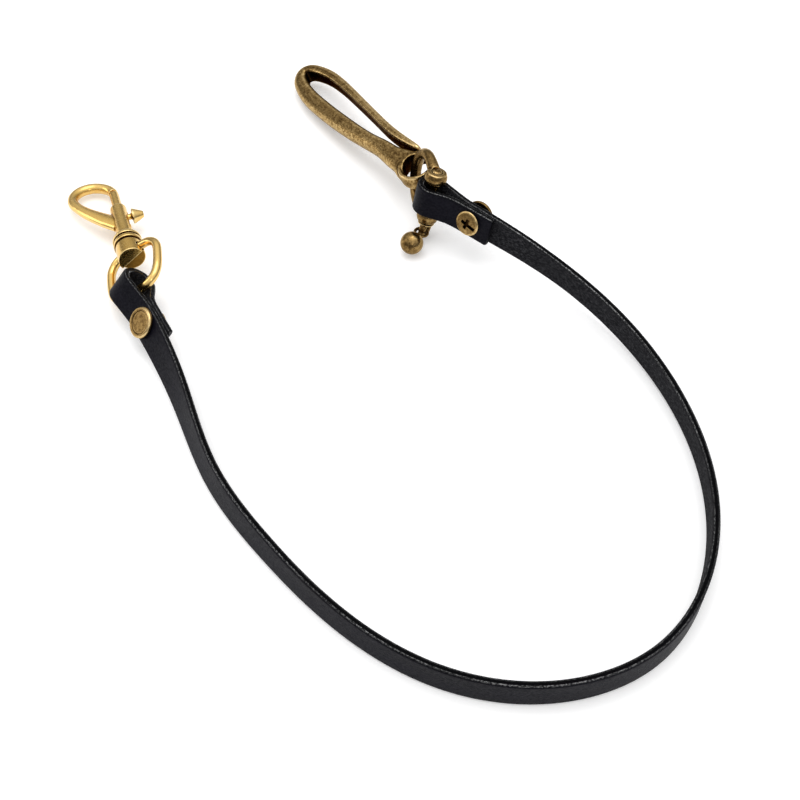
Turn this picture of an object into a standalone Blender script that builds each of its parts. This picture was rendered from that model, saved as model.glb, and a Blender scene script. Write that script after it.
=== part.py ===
"""Leather key lanyard: a black strap standing on its edge, folded back and
screwed at both ends. A brass bolt snap hangs from a D-ring at one end, and a
horseshoe shackle with a long fish hook at the other.

Lengths below are in millimetres, and are scaled to metres when meshes are made.
+Z is up, z = 0 is the surface the lanyard lies on, and the origin is in the
middle of the footprint.
"""
import math

import bmesh
import bpy
import numpy as np
from mathutils import Matrix, Vector

for old in list(bpy.data.objects):
    bpy.data.objects.remove(old, do_unlink=True)

MM = 0.001

# ---------------------------------------------------------------- dimensions
STRAP_W = 10.0          # width of the strap, which stands on edge
STRAP_T = 2.2           # leather thickness
STRAP_EDGE = 0.4        # bevelled, burnished corner
LAYER_GAP = 0.4         # between the run and its folded-back end
# Middle of the footprint in the plane where the layout below is drawn.
MIDDLE = (-1.06, 0.99)
# Route of the run from the left screw to the right screw:
# x, y, lift of the lower edge above the floor, lean in degrees.
ROUTE = [
    (-67.5, -4.7, 4.6, 41.0),
    (-54.2, -31.6, 1.3, 26.0),
    (-42.3, -59.7, 0.0, 15.0),
    (-24.9, -84.6, 0.0, 9.0),
    (-3.9, -106.7, 0.0, 5.0),
    (21.8, -122.9, 0.0, 2.0),
    (51.7, -127.2, 0.0, 0.0),
    (79.5, -116.2, 0.0, 0.0),
    (96.1, -90.9, 0.0, -1.0),
    (100.4, -61.0, 0.0, 1.0),
    (94.8, -31.1, 0.4, 3.0),
    (81.2, -3.9, 2.2, 2.0),
    (60.8, 18.6, 5.9, 0.0),
    (36.6, 37.0, 9.5, -14.0),
]
# Slope of the route at its two ends, per millimetre of run.
START_SLOPE = (0.50, -0.866, -0.09, -0.3)
END_SLOPE = (-0.79, 0.613, 0.06, -0.3)
LEFT_LOOP_R = 4.7       # mid-thickness radius of each end loop
RIGHT_LOOP_R = 4.4
LEFT_LOOP_A = 15.5      # screw axis to loop centre
RIGHT_LOOP_A = 16.8
LEFT_LOOP_B = 2.3       # loop centre off the run's middle plane
RIGHT_LOOP_B = 1.7
TAB_END = 8.0           # folded end past the screw axis
HOLE_R = 2.65           # screw hole in both layers

CAP_R = 5.0             # post cap
CAP_T = 1.4
POST_R = 2.3
POST_BORE = 1.7
SCREW_HEAD_R = 4.3
SCREW_HEAD_T = 1.15
SCREW_R = 1.35
FACE_GAP = 0.3          # under the screw heads
CAP_GAP = {"left": 0.4, "right": 1.6}    # under the caps; the right screw is not done up tight

RING_WIRE = 1.45        # D-ring wire radius
RING_HALF_W = 10.2      # to the wire's middle
RING_PLAY = 1.5         # curved side past the loop's centre
RING_BAR = 4.6          # half of the straight bar
RING_CORNER = 5.6
BOSS_OFF = 1.3          # boss off the middle of the bar

EYE_R = 4.55            # swivel boss
EYE_LEN = 10.6
EYE_BAR_U = -6.0        # bar hole, along the snap's axis
BAR_HOLE = 2.25

BARREL_R = 2.8
BARREL_TOP = 20.7
BORE_R = 1.95
BOLT_R = 1.65
BOLT_TRAVEL = 5.0
BOLT_BOTTOM = 13.4
BOLT_TIP = 31.0
KNOB_U = 14.9
HOOK_WIRE = 1.8

BOW_WIRE = 1.9
BOW_R = 9.5
BOW_C = 8.5             # bow centre off the pin axis
EAR_Z = 7.6             # ears, either side of the strap
EAR_R = 3.7
EAR_T = 3.8
PIN_R = 1.7
PIN_EYE_Z = -13.0       # eye below the lower ear
PIN_EYE_R = 3.0
PIN_EYE_HOLE = 1.5

FISH_H = 6.4            # thickness of the fish hook plate
FISH_HOLE = 4.9
FISH_RIM = 6.75

LINK_R = 2.15           # jump ring, to the wire's middle
LINK_WIRE = 0.42
LINK_AT = 0.43          # its wire off the middle of the pin's eye
BALL_R = 3.9
SHANK_AT = 4.7          # shank's hole off the ball's centre
SHANK_HOLE = 0.8


# ------------------------------------------------------------------- helpers
def unit(v):
    v = Vector(v)
    v.normalize()
    return v


def place(origin, ex, ey, ez):
    m = Matrix.Identity(4)
    for i, c in enumerate((ex, ey, ez)):
        for r in range(3):
            m[r][i] = c[r]
    for r in range(3):
        m[r][3] = origin[r] * MM
    return m


def frame_from(origin, ez, ex_hint):
    """Right-handed frame with the given z axis and x as near the hint as it goes."""
    ez = unit(ez)
    ex = Vector(ex_hint) - ez * ez.dot(Vector(ex_hint))
    ex.normalize()
    return place(origin, ex, ez.cross(ex), ez)


MATERIALS = {}


def material(name, colour, rough, metal):
    if name not in MATERIALS:
        m = bpy.data.materials.new(name)
        m.use_nodes = True
        b = m.node_tree.nodes["Principled BSDF"]
        b.inputs["Base Color"].default_value = (*colour, 1.0)
        b.inputs["Roughness"].default_value = rough
        b.inputs["Metallic"].default_value = metal
        m.diffuse_color = (*colour, 1.0)
        MATERIALS[name] = m
    return MATERIALS[name]


LEATHER = material("black_leather", (0.012, 0.012, 0.014), 0.45, 0.0)
BRIGHT = material("bright_brass", (0.80, 0.56, 0.20), 0.28, 1.0)
ANTIQUE = material("antique_brass", (0.36, 0.25, 0.11), 0.42, 1.0)
STEEL = material("spring_steel", (0.55, 0.55, 0.56), 0.35, 1.0)


def add_tube(bm, rings, closed=False):
    """Skin a list of equal rings of points; open tubes get flat caps."""
    rows = [[bm.verts.new(Vector(p) * MM) for p in ring] for ring in rings]
    n = len(rows[0])
    last = len(rows) if closed else len(rows) - 1
    for i in range(last):
        a, b = rows[i], rows[(i + 1) % len(rows)]
        for k in range(n):
            bm.faces.new((a[k], a[(k + 1) % n], b[(k + 1) % n], b[k]))
    if not closed:
        bm.faces.new(list(reversed(rows[0])))
        bm.faces.new(rows[-1])


def add_lathe(bm, profile, n, closed=False):
    """Turn (radius, z) points about Z. Radius 0 ends on the axis."""
    rows = []
    for r, z in profile:
        if r < 1e-6:
            rows.append([bm.verts.new(Vector((0, 0, z)) * MM)])
        else:
            rows.append([bm.verts.new(Vector((r * math.cos(2 * math.pi * k / n),
                                              r * math.sin(2 * math.pi * k / n), z)) * MM)
                         for k in range(n)])
    pairs = list(zip(rows, rows[1:]))
    if closed:
        pairs.append((rows[-1], rows[0]))
    for a, b in pairs:
        for k in range(n):
            j = (k + 1) % n
            if len(a) == 1 and len(b) == 1:
                continue
            if len(a) == 1:
                bm.faces.new((a[0], b[j], b[k]))
            elif len(b) == 1:
                bm.faces.new((a[k], a[j], b[0]))
            else:
                bm.faces.new((a[k], a[j], b[j], b[k]))


def finish(name, bm, matrix, mat, sharp=40.0, helper=False):
    bmesh.ops.remove_doubles(bm, verts=bm.verts, dist=1e-7)
    bmesh.ops.recalc_face_normals(bm, faces=bm.faces)
    me = bpy.data.meshes.new(name)
    bm.to_mesh(me)
    bm.free()
    me.materials.append(mat)
    ob = bpy.data.objects.new(name, me)
    bpy.context.scene.collection.objects.link(ob)
    ob.matrix_world = matrix
    me.shade_smooth()
    me.set_sharp_from_angle(angle=math.radians(sharp))
    if helper:
        ob.hide_render = True
        ob.display_type = "WIRE"
    return ob


def lathe_object(name, profile, n, matrix, mat, closed=False, helper=False):
    bm = bmesh.new()
    add_lathe(bm, profile, n, closed)
    return finish(name, bm, matrix, mat, helper=helper)


def tube_object(name, rings, matrix, mat, closed=False, helper=False):
    bm = bmesh.new()
    add_tube(bm, rings, closed)
    return finish(name, bm, matrix, mat, helper=helper)


def box_object(name, lo, hi, matrix):
    bm = bmesh.new()
    bmesh.ops.create_cube(bm, size=1.0)
    for v in bm.verts:
        for i in range(3):
            v.co[i] = (lo[i] if v.co[i] < 0 else hi[i]) * MM
    return finish(name, bm, matrix, STEEL, helper=True)


def rod(name, radius, z0, z1, n, matrix):
    return lathe_object(name, [(0, z0), (radius, z0), (radius, z1), (0, z1)], n, matrix, STEEL, helper=True)


def boolean(ob, other, operation):
    m = ob.modifiers.new(operation.lower(), "BOOLEAN")
    m.object = other
    m.operation = operation
    m.solver = "EXACT"


def spline(rows, count, ends=None):
    """Cubic spline through the rows, at equal steps of chord length, natural or
    with the given end slopes. Gives points and first derivatives."""
    p = np.array(rows, float)
    d = np.concatenate([[0.0], np.cumsum(np.hypot(*np.diff(p[:, :2], axis=0).T))])
    n = len(p)
    h = np.diff(d)
    a = np.zeros((n, n))
    r = np.zeros((n, p.shape[1]))
    a[0, 0] = a[-1, -1] = 1.0
    if ends:
        a[0, 0], a[0, 1] = 2 * h[0], h[0]
        r[0] = 6 * ((p[1] - p[0]) / h[0] - np.array(ends[0]))
        a[-1, -1], a[-1, -2] = 2 * h[-1], h[-1]
        r[-1] = 6 * (np.array(ends[1]) - (p[-1] - p[-2]) / h[-1])
    for i in range(1, n - 1):
        a[i, i - 1], a[i, i], a[i, i + 1] = h[i - 1], 2 * (h[i - 1] + h[i]), h[i]
        r[i] = 6 * ((p[i + 1] - p[i]) / h[i] - (p[i] - p[i - 1]) / h[i - 1])
    m = np.linalg.solve(a, r)
    out = []
    for s in np.linspace(0.0, d[-1], count):
        i = min(max(int(np.searchsorted(d, s)) - 1, 0), n - 2)
        u, v = d[i + 1] - s, s - d[i]
        pos = (m[i] * u ** 3 + m[i + 1] * v ** 3) / (6 * h[i]) \
            + (p[i] / h[i] - m[i] * h[i] / 6) * u + (p[i + 1] / h[i] - m[i + 1] * h[i] / 6) * v
        der = (m[i + 1] * v ** 2 - m[i] * u ** 2) / (2 * h[i]) \
            + (p[i + 1] - p[i]) / h[i] - (m[i + 1] - m[i]) * h[i] / 6
        out.append((pos, der))
    return out


def smooth_path(points, count):
    """Natural cubic spline through 2-D points, by chord length."""
    return [(tuple(p), tuple(q)) for p, q in spline(points, count)]


# --------------------------------------------------------------------- strap
def strap_run(count):
    """Stations of the run: centre, travel direction, width and inner directions."""
    out = []
    rows = [(x - MIDDLE[0], y - MIDDLE[1], lift, lean) for x, y, lift, lean in ROUTE]
    for pos, der in spline(rows, count, (START_SLOPE, END_SLOPE)):
        tan = unit(der[:3])
        inner = unit((-tan.y, tan.x, 0.0))
        up = tan.cross(inner)
        c, s = math.cos(math.radians(pos[3])), math.sin(math.radians(pos[3]))
        w = up * c + inner * s
        th = inner * c - up * s
        z = pos[2] + STRAP_W / 2 * c + STRAP_T / 2 * abs(s)
        out.append((Vector((pos[0], pos[1], z)), tan, w, th))
    return out


def bezier(p0, p1, p2, p3, count):
    out = []
    for i in range(count):
        t = i / (count - 1)
        u = 1 - t
        pos = [u ** 3 * a + 3 * u * u * t * b + 3 * u * t * t * c + t ** 3 * d
               for a, b, c, d in zip(p0, p1, p2, p3)]
        der = [3 * u * u * (b - a) + 6 * u * t * (c - b) + 3 * t * t * (d - c)
               for a, b, c, d in zip(p0, p1, p2, p3)]
        out.append((pos, der))
    return out


def fold(loop_a, loop_b, loop_r, n_lead, n_arc, n_back):
    """Folded end in the plane across the strap: a towards the nose, b to the
    inner side. From the run, round the loop, to the free end."""
    a0, a1 = math.radians(-100), math.radians(114)
    on = lambda t: (loop_a + loop_r * math.cos(t), loop_b + loop_r * math.sin(t))
    go = lambda t: (-math.sin(t), math.cos(t))
    p, q = on(a0), on(a1)
    d, e = go(a0), go(a1)
    tab = STRAP_T + LAYER_GAP
    pts = bezier((1.5, 0), (6.0, 0), (p[0] - 4 * d[0], p[1] - 4 * d[1]), p, n_lead)[1:]
    pts += [(on(t), go(t)) for t in np.linspace(a0, a1, n_arc)[1:]]
    pts += bezier(q, (q[0] + 5 * e[0], q[1] + 5 * e[1]), (8.5, tab), (3.6, tab), n_back)[1:]
    pts += [((a, tab), (-1.0, 0.0)) for a in (-2.0, -TAB_END)]
    return pts


def end_stations(origin, nose, w, th, pts):
    out = []
    for (a, b), (da, db) in pts:
        k = math.hypot(da, db)
        out.append((origin + nose * a + th * b, w, (th * da - nose * db) / k))
    return out


RUN = strap_run(52)
LEFT_O, LEFT_T, LEFT_W, LEFT_TH = RUN[0][0], -RUN[0][1], RUN[0][2], RUN[0][3]
RIGHT_O, RIGHT_T, RIGHT_W, RIGHT_TH = RUN[-1]
FOLDING = (5, 12, 6)


def strap_stations():
    left = end_stations(LEFT_O, LEFT_T, LEFT_W, LEFT_TH, fold(LEFT_LOOP_A, LEFT_LOOP_B, LEFT_LOOP_R, *FOLDING))
    right = end_stations(RIGHT_O, RIGHT_T, RIGHT_W, RIGHT_TH, fold(RIGHT_LOOP_A, RIGHT_LOOP_B, RIGHT_LOOP_R, *FOLDING))
    return list(reversed(left)) + [(c, w, th) for c, _, w, th in RUN] + right


def strap_section():
    x, y, e = STRAP_W / 2, STRAP_T / 2, STRAP_EDGE
    return [(x, -y + e), (x, y - e), (x - e, y), (-x + e, y),
            (-x, y - e), (-x, -y + e), (-x + e, -y), (x - e, -y)]


strap = tube_object("leather_strap",
                    [[c + w * a + th * b for a, b in strap_section()] for c, w, th in strap_stations()],
                    Matrix.Identity(4), LEATHER)

# Frames of the two screws: z from the outer face to the inner side.
LEFT_SCREW = frame_from(LEFT_O, LEFT_TH, LEFT_W)
RIGHT_SCREW = frame_from(RIGHT_O, RIGHT_TH, RIGHT_W)
OUTER = -STRAP_T / 2
INNER = 1.5 * STRAP_T + LAYER_GAP

for side, m in (("left", LEFT_SCREW), ("right", RIGHT_SCREW)):
    hole = rod(side + "_hole", HOLE_R, OUTER - 3, INNER + 3, 20, m)
    boolean(strap, hole, "DIFFERENCE")

    lo = OUTER - CAP_GAP[side]
    top = INNER - 0.3
    lathe_object(side + "_post", [
        (0, lo - CAP_T + 0.25), (3.6, lo - CAP_T + 0.25), (3.8, lo - CAP_T), (4.5, lo - CAP_T),
        (CAP_R, lo - CAP_T + 0.45), (CAP_R, lo - 0.25), (CAP_R - 0.25, lo),
        (POST_R, lo), (POST_R, top), (POST_BORE, top), (POST_BORE, -0.5), (0, -0.5)],
        28, m, ANTIQUE)

    hi = INNER + FACE_GAP
    screw = lathe_object(side + "_screw", [
        (0, -0.2), (SCREW_R, -0.2), (SCREW_R, hi), (SCREW_HEAD_R - 0.25, hi), (SCREW_HEAD_R, hi + 0.25),
        (SCREW_HEAD_R, hi + 0.6), (SCREW_HEAD_R - 0.7, hi + SCREW_HEAD_T - 0.2),
        (2.0, hi + SCREW_HEAD_T), (0, hi + SCREW_HEAD_T)], 28, m, ANTIQUE)
    turn = m @ Matrix.Rotation(math.radians(78 if side == "right" else 20), 4, "Z")
    for k, (x0, x1, wx) in enumerate(((-3.4, 2.0, 0.55), (-0.55, 0.55, 1.9))):
        slot = box_object("%s_slot_%d" % (side, k), (x0, -wx, hi + SCREW_HEAD_T - 0.85),
                          (x1, wx, hi + SCREW_HEAD_T + 1), turn)
        boolean(screw, slot, "DIFFERENCE")


# -------------------------------------------------------------------- D-ring
def d_ring_path(depth, n_corner, n_far):
    """Bar along p at q = 0, curved side at q = depth."""
    pts = [(-RING_BAR / 2, 0.0), (0.0, 0.0), (RING_BAR / 2, 0.0)]
    for t in np.linspace(-math.pi / 2, 0, n_corner):
        pts.append((RING_BAR + RING_CORNER * math.cos(t), RING_CORNER + RING_CORNER * math.sin(t)))
    far = []
    for t in np.linspace(0, math.pi, n_far)[1:-1]:
        c, s = math.cos(t), math.sin(t)
        far.append((RING_HALF_W * math.copysign(abs(c) ** 0.56, c),
                    RING_CORNER + (depth - RING_CORNER) * s ** 0.56))
    pts += far
    for t in np.linspace(math.pi, 1.5 * math.pi, n_corner):
        pts.append((-RING_BAR + RING_CORNER * math.cos(t), RING_CORNER + RING_CORNER * math.sin(t)))
    return pts


def planar_tube(path, radius, sides, closed, ez=Vector((0, 0, 1))):
    """Round tube along a path in the local xy plane."""
    rings = []
    n = len(path)
    for i in range(n):
        p = Vector((path[i][0], path[i][1], 0))
        a = path[(i - 1) % n] if closed or i > 0 else path[i]
        b = path[(i + 1) % n] if closed or i < n - 1 else path[i]
        t = unit((b[0] - a[0], b[1] - a[1], 0))
        side = ez.cross(t)
        r = radius[i] if isinstance(radius, list) else radius
        rings.append([p + side * (r * math.cos(2 * math.pi * k / sides)) + ez * (r * math.sin(2 * math.pi * k / sides))
                      for k in range(sides)])
    return rings


LEFT_LOOP = LEFT_O + LEFT_T * LEFT_LOOP_A + LEFT_TH * LEFT_LOOP_B
RIGHT_LOOP = RIGHT_O + RIGHT_T * RIGHT_LOOP_A + RIGHT_TH * RIGHT_LOOP_B

# The snap's axis: from the boss on the D-ring to the hook's end on the floor.
SNAP_AXIS = unit((-0.312, 0.937, -0.16))
SNAP_N = unit(Vector((0, 0, 1)) - SNAP_AXIS * SNAP_AXIS.z)
SNAP_V = SNAP_AXIS.cross(SNAP_N)
SNAP_O = Vector((-78.38 - MIDDLE[0], 31.73 - MIDDLE[1], 8.92))
BAR_AT = SNAP_O + SNAP_AXIS * EYE_BAR_U

# D-ring: x along its bar, y from the bar to the loop, with its origin in the loop.
# It hangs askew in the loop, its bar flatter than the leaning strap.
ring_y = unit(LEFT_LOOP - BAR_AT)
BAR_DIR = Vector((0.81, 0.10, 0.57))
RING_X = unit(BAR_DIR - ring_y * ring_y.dot(BAR_DIR))
RING_O = BAR_AT + RING_X * BOSS_OFF
RING_Y = unit(LEFT_LOOP - RING_O)
RING_Y = unit(RING_Y - RING_X * RING_X.dot(RING_Y))
RING_Z = RING_X.cross(RING_Y)
RING_DEPTH = (LEFT_LOOP - RING_O).length + RING_PLAY
RING_PIVOT = LEFT_LOOP - LEFT_T * 1.5
RING_M = place(RING_PIVOT, RING_X, RING_Y, RING_Z)
ring_off = RING_M.to_3x3().transposed() @ (RING_O - RING_PIVOT)
tube_object("d_ring", planar_tube([(p + ring_off.x, q + ring_off.y) for p, q in d_ring_path(RING_DEPTH, 5, 15)],
                                  RING_WIRE, 10, True), RING_M, BRIGHT, closed=True)

# ---------------------------------------------------------------- swivel boss
# The boss turns on the bar. Its z axis is the snap's axis, its x nearly the bar.
EYE_M = frame_from(BAR_AT, SNAP_AXIS, RING_X)
boss = lathe_object("swivel_eye", [(r, u - EYE_BAR_U) for r, u in (
    (0, -EYE_LEN), (EYE_R - 0.4, -EYE_LEN), (EYE_R, -EYE_LEN + 0.4), (EYE_R, -3.9), (4.05, -3.7), (3.9, -3.4),
    (4.05, -3.1), (4.6, -2.9), (4.85, -2.6), (4.85, -1.6), (4.6, -1.3), (0.85, -1.3), (0.85, 2.55), (1.4, 2.7),
    (1.4, 3.3), (0, 3.3))],
    24, EYE_M, BRIGHT)
boolean(boss, rod("bar_hole", BAR_HOLE, -8, 8, 16, frame_from(BAR_AT, RING_X, SNAP_AXIS)), "DIFFERENCE")
end = -EYE_LEN - EYE_BAR_U
boolean(boss, box_object("end_step", (-6, 0.0, end - 1), (6, 6, end + 1.8), EYE_M), "DIFFERENCE")

# ------------------------------------------------------------------ snap body
SNAP_M = place(SNAP_O, SNAP_V, SNAP_AXIS.cross(SNAP_V), SNAP_AXIS)
# local x = to the right of the axis, z = along it, y = across the hook's plane
body = lathe_object("snap_body", [
    (0, -0.4), (4.6, -0.4), (4.85, -0.15), (4.85, 0.75), (4.6, 1.0), (3.5, 1.25), (3.0, 2.2),
    (BARREL_R, 4.0), (BARREL_R, BARREL_TOP - 0.4), (BARREL_R - 0.4, BARREL_TOP), (0, BARREL_TOP)],
    24, SNAP_M, BRIGHT)

# Hook: along the axis (u) and to the side (v), from the barrel round to the nose.
HOOK = [(11.0, -1.0), (14.6, -4.1), (18.6, -7.5), (23.0, -10.8), (27.6, -13.3), (31.8, -14.2), (35.3, -12.9),
        (37.5, -9.8), (37.6, -6.2), (36.0, -3.0), (33.6, -1.0), (31.6, -0.3)]


def hook_rings(count, sides):
    rings = []
    pts = smooth_path(HOOK, count)
    for i, ((u, v), (du, dv)) in enumerate(pts):
        t = unit((dv, 0, du))
        y = Vector((0, 1, 0))
        side = y.cross(t)
        f = i / (count - 1)
        wide = 3.1 if f < 0.12 else 3.1 - (3.1 - HOOK_WIRE) * min(1.0, (f - 0.12) / 0.3)
        if f > 0.88:
            wide = HOOK_WIRE - 0.15 * (f - 0.88) / 0.12
        c = Vector((v, 0, u))
        rings.append([c + side * (wide * math.cos(2 * math.pi * k / sides)) + y * (HOOK_WIRE * math.sin(2 * math.pi * k / sides))
                      for k in range(sides)])
    return rings


hook = tube_object("hook_arm", hook_rings(24, 12), SNAP_M, BRIGHT, helper=True)
boolean(body, hook, "UNION")
boolean(body, rod("snap_bore", BORE_R, 2.2, BARREL_TOP + 0.6, 20, SNAP_M), "DIFFERENCE")
boolean(body, rod("stem_hole", 1.2, -2, 3, 16, SNAP_M), "DIFFERENCE")
boolean(body, box_object("thumb_slot", (0.8, -1.35, KNOB_U - BOLT_TRAVEL - 1.4), (4, 1.35, KNOB_U + 1.4), SNAP_M), "DIFFERENCE")

bolt = lathe_object("snap_bolt", [
    (0, BOLT_BOTTOM), (BOLT_R - 0.2, BOLT_BOTTOM), (BOLT_R, BOLT_BOTTOM + 0.2), (BOLT_R, BOLT_TIP - 0.5),
    (BOLT_R - 0.5, BOLT_TIP), (0, BOLT_TIP)], 20, SNAP_M, BRIGHT)
KNOB_M = SNAP_M @ Matrix.Translation((0, 0, KNOB_U * MM)) @ Matrix.Rotation(math.pi / 2, 4, "Y")
boolean(bolt, rod("knob_hole", 1.2, -0.4, 3, 12, KNOB_M), "DIFFERENCE")
lathe_object("thumb_knob", [
    (0, -0.1), (1.0, -0.1), (1.0, 3.5), (1.35, 3.85), (2.45, 3.95), (2.65, 4.25), (2.5, 4.75), (1.25, 7.6),
    (0.95, 7.9), (0, 7.9)],
    20, KNOB_M, BRIGHT)


def coil_rings(radius, wire, z0, z1, turns, per_turn, sides):
    rings = []
    n = int(turns * per_turn)
    for i in range(n + 1):
        f = i / n
        a = 2 * math.pi * turns * f
        c = Vector((radius * math.cos(a), radius * math.sin(a), z0 + (z1 - z0) * f))
        out = Vector((math.cos(a), math.sin(a), 0))
        t = unit((-math.sin(a) * radius * 2 * math.pi * turns, math.cos(a) * radius * 2 * math.pi * turns, z1 - z0))
        side = t.cross(out)
        rings.append([c + out * (wire * math.cos(2 * math.pi * k / sides)) + side * (wire * math.sin(2 * math.pi * k / sides))
                      for k in range(sides)])
    return rings


tube_object("bolt_spring", coil_rings(1.2, 0.2, 3.85, BOLT_BOTTOM - 0.35, 7, 10, 5), SNAP_M, STEEL)

# -------------------------------------------------------------------- shackle
# The pin hangs a little askew and off the middle of the right loop; x of the shackle frame points
# from the pin to the bow.
BOW_DIR = unit((-0.27, 0.95, -0.10))
PIN_Z = unit((0.17, 0.17, 0.97))
PIN_AT = RIGHT_LOOP + Vector((0.3, 0.5, 0.0))
SHACKLE_M = frame_from(PIN_AT, PIN_Z, BOW_DIR)


def bow_path(count):
    """Horseshoe: an arc, and a straight leg from each end of it to an ear."""
    far = math.hypot(BOW_C, EAR_Z)
    a = math.pi - math.atan2(EAR_Z, BOW_C) - math.acos(BOW_R / far)
    arc = [(BOW_C + BOW_R * math.cos(t), BOW_R * math.sin(t)) for t in np.linspace(-a, a, count)]
    return [(0.0, -EAR_Z)] + arc + [(0.0, EAR_Z)]


# The bow lies in the shackle's xz plane.
BOW_M = SHACKLE_M @ Matrix.Rotation(math.pi / 2, 4, "X")
bow = tube_object("shackle_bow", planar_tube(bow_path(17), [1.4] + [BOW_WIRE] * 17 + [1.4], 12, False),
                  BOW_M, ANTIQUE)
for k, s in (("upper", 1), ("lower", -1)):
    ear = lathe_object("ear_" + k, [
        (0, EAR_Z - EAR_T / 2), (EAR_R - 0.9, EAR_Z - EAR_T / 2), (EAR_R - 0.2, EAR_Z - EAR_T / 2 + 0.6),
        (EAR_R, EAR_Z), (EAR_R - 0.2, EAR_Z + EAR_T / 2 - 0.9), (EAR_R - 1.0, EAR_Z + EAR_T / 2 - 0.1),
        (0, EAR_Z + EAR_T / 2)] if s > 0 else [
        (0, -EAR_Z + EAR_T / 2), (EAR_R - 0.9, -EAR_Z + EAR_T / 2), (EAR_R - 0.2, -EAR_Z + EAR_T / 2 - 0.6),
        (EAR_R, -EAR_Z), (EAR_R - 0.2, -EAR_Z - EAR_T / 2 + 0.9), (EAR_R - 1.0, -EAR_Z - EAR_T / 2 + 0.1),
        (0, -EAR_Z - EAR_T / 2)], 24, SHACKLE_M, ANTIQUE, helper=True)
    boolean(bow, ear, "UNION")
boolean(bow, rod("pin_hole", PIN_R + 0.3, -20, 20, 20, SHACKLE_M), "DIFFERENCE")

low, top = -(EAR_Z + EAR_T / 2), EAR_Z + EAR_T / 2
pin = lathe_object("shackle_pin", [
    (0, PIN_EYE_Z + 1.75), (1.5, PIN_EYE_Z + 1.75), (1.5, low - 1.2), (2.6, low - 1.1),
    (2.8, low - 0.9), (2.8, low - 0.65), (PIN_R, low - 0.65), (PIN_R, top + 0.1),
    (PIN_R - 0.35, top + 0.45), (0, top + 0.45)], 20, SHACKLE_M, ANTIQUE)
# Eye of the pin: a thick washer whose hole runs across the pin and the ball's link.
PIN_EYE_C = PIN_AT + PIN_Z * PIN_EYE_Z
BALL_AT = Vector((16.9 - MIDDLE[0], 37.7 - MIDDLE[1], BALL_R + 0.4))
LINK_X = unit(BALL_AT - PIN_EYE_C)
LINK_Y = unit(PIN_Z.cross(LINK_X))
EYE2_M = frame_from(PIN_EYE_C, LINK_Y, PIN_Z)
eye2 = lathe_object("pin_eye", [
    (PIN_EYE_HOLE, -0.45), (PIN_EYE_HOLE + 0.35, -1.0), (PIN_EYE_R - 0.4, -1.0), (PIN_EYE_R, -0.55),
    (PIN_EYE_R, 0.55), (PIN_EYE_R - 0.4, 1.0), (PIN_EYE_HOLE + 0.35, 1.0), (PIN_EYE_HOLE, 0.45)],
    24, EYE2_M, ANTIQUE, closed=True, helper=True)
boolean(pin, eye2, "UNION")

# ------------------------------------------------------------------ fish hook
# x from the eye towards the far end, y to the slim arm's side, z off the plate.
FISH_EYE = Vector((18.14 - MIDDLE[0], 61.97 - MIDDLE[1], 14.09))
FISH_FAR = Vector((-25.5 - MIDDLE[0], 126.3 - MIDDLE[1], 4.2))
FISH_ROLL = math.radians(17.0)
FISH_X = unit(FISH_FAR - FISH_EYE)
fish_side = unit(Vector((0, 0, 1)).cross(-FISH_X))
fish_up = (-FISH_X).cross(fish_side)
FISH_Y = fish_side * math.cos(FISH_ROLL) + fish_up * math.sin(FISH_ROLL)
FISH_Z = FISH_X.cross(FISH_Y)
# middle line of the plate from the tip of the slim arm round the far end to the eye: x, y, width
FISH = [(5.4, 5.75, 2.0), (9.5, 5.45, 2.6), (14.5, 5.05, 3.1), (21.5, 4.85, 3.3), (31.5, 5.5, 3.1), (42.5, 6.45, 3.2),
        (51.5, 7.2, 3.4), (61.5, 7.75, 3.8), (68.5, 7.4, 4.1), (74.5, 6.0, 4.3), (78.0, 3.9, 4.6), (78.7, 1.7, 4.8),
        (77.1, -0.9, 5.2), (72.5, -3.0, 5.6), (65.5, -4.3, 6.0), (57.5, -4.7, 6.1), (49.5, -4.7, 6.1), (41.5, -4.45, 6.0),
        (31.5, -3.8, 5.6), (23.5, -2.9, 5.5), (17.5, -2.2, 6.2), (11.5, -2.0, 7.4), (6.2, -1.2, 9.6),
        (2.5, -0.95, 11.6), (0.0, -0.6, 12.2)]


def plate_section(width, height, n_corner):
    """Rounded upright section, width across and height along the plate's normal."""
    r = min(width, height) * 0.42
    pts = []
    for cx, cy, a0 in ((1, 1, 0), (-1, 1, 90), (-1, -1, 180), (1, -1, 270)):
        for k in range(n_corner):
            t = math.radians(a0 + 90 * k / (n_corner - 1))
            pts.append((cx * (width / 2 - r) + r * math.cos(t), cy * (height / 2 - r) + r * math.sin(t)))
    return pts


def fish_rings(count, n_corner, at):
    rings = []
    pts = smooth_path(FISH, count)
    for i, ((x, y, wd), (dx, dy, _)) in enumerate(pts):
        t = unit((dx, dy, 0))
        side = Vector((0, 0, 1)).cross(t)
        hgt = FISH_H
        if i > count / 2 and x < 9.0:
            hgt -= 1.4 * min(1.0, (9.0 - x) / 8.0)      # runs out into the rim of the eye
        if i == 0:
            wd, hgt = wd * 0.55, hgt * 0.62
        elif i == 1:
            wd, hgt = wd * 0.92, hgt * 0.86
        rings.append([at + Vector((x, y, 0)) + side * a + Vector((0, 0, b)) for a, b in plate_section(wd, hgt, n_corner)])
    return rings


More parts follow.
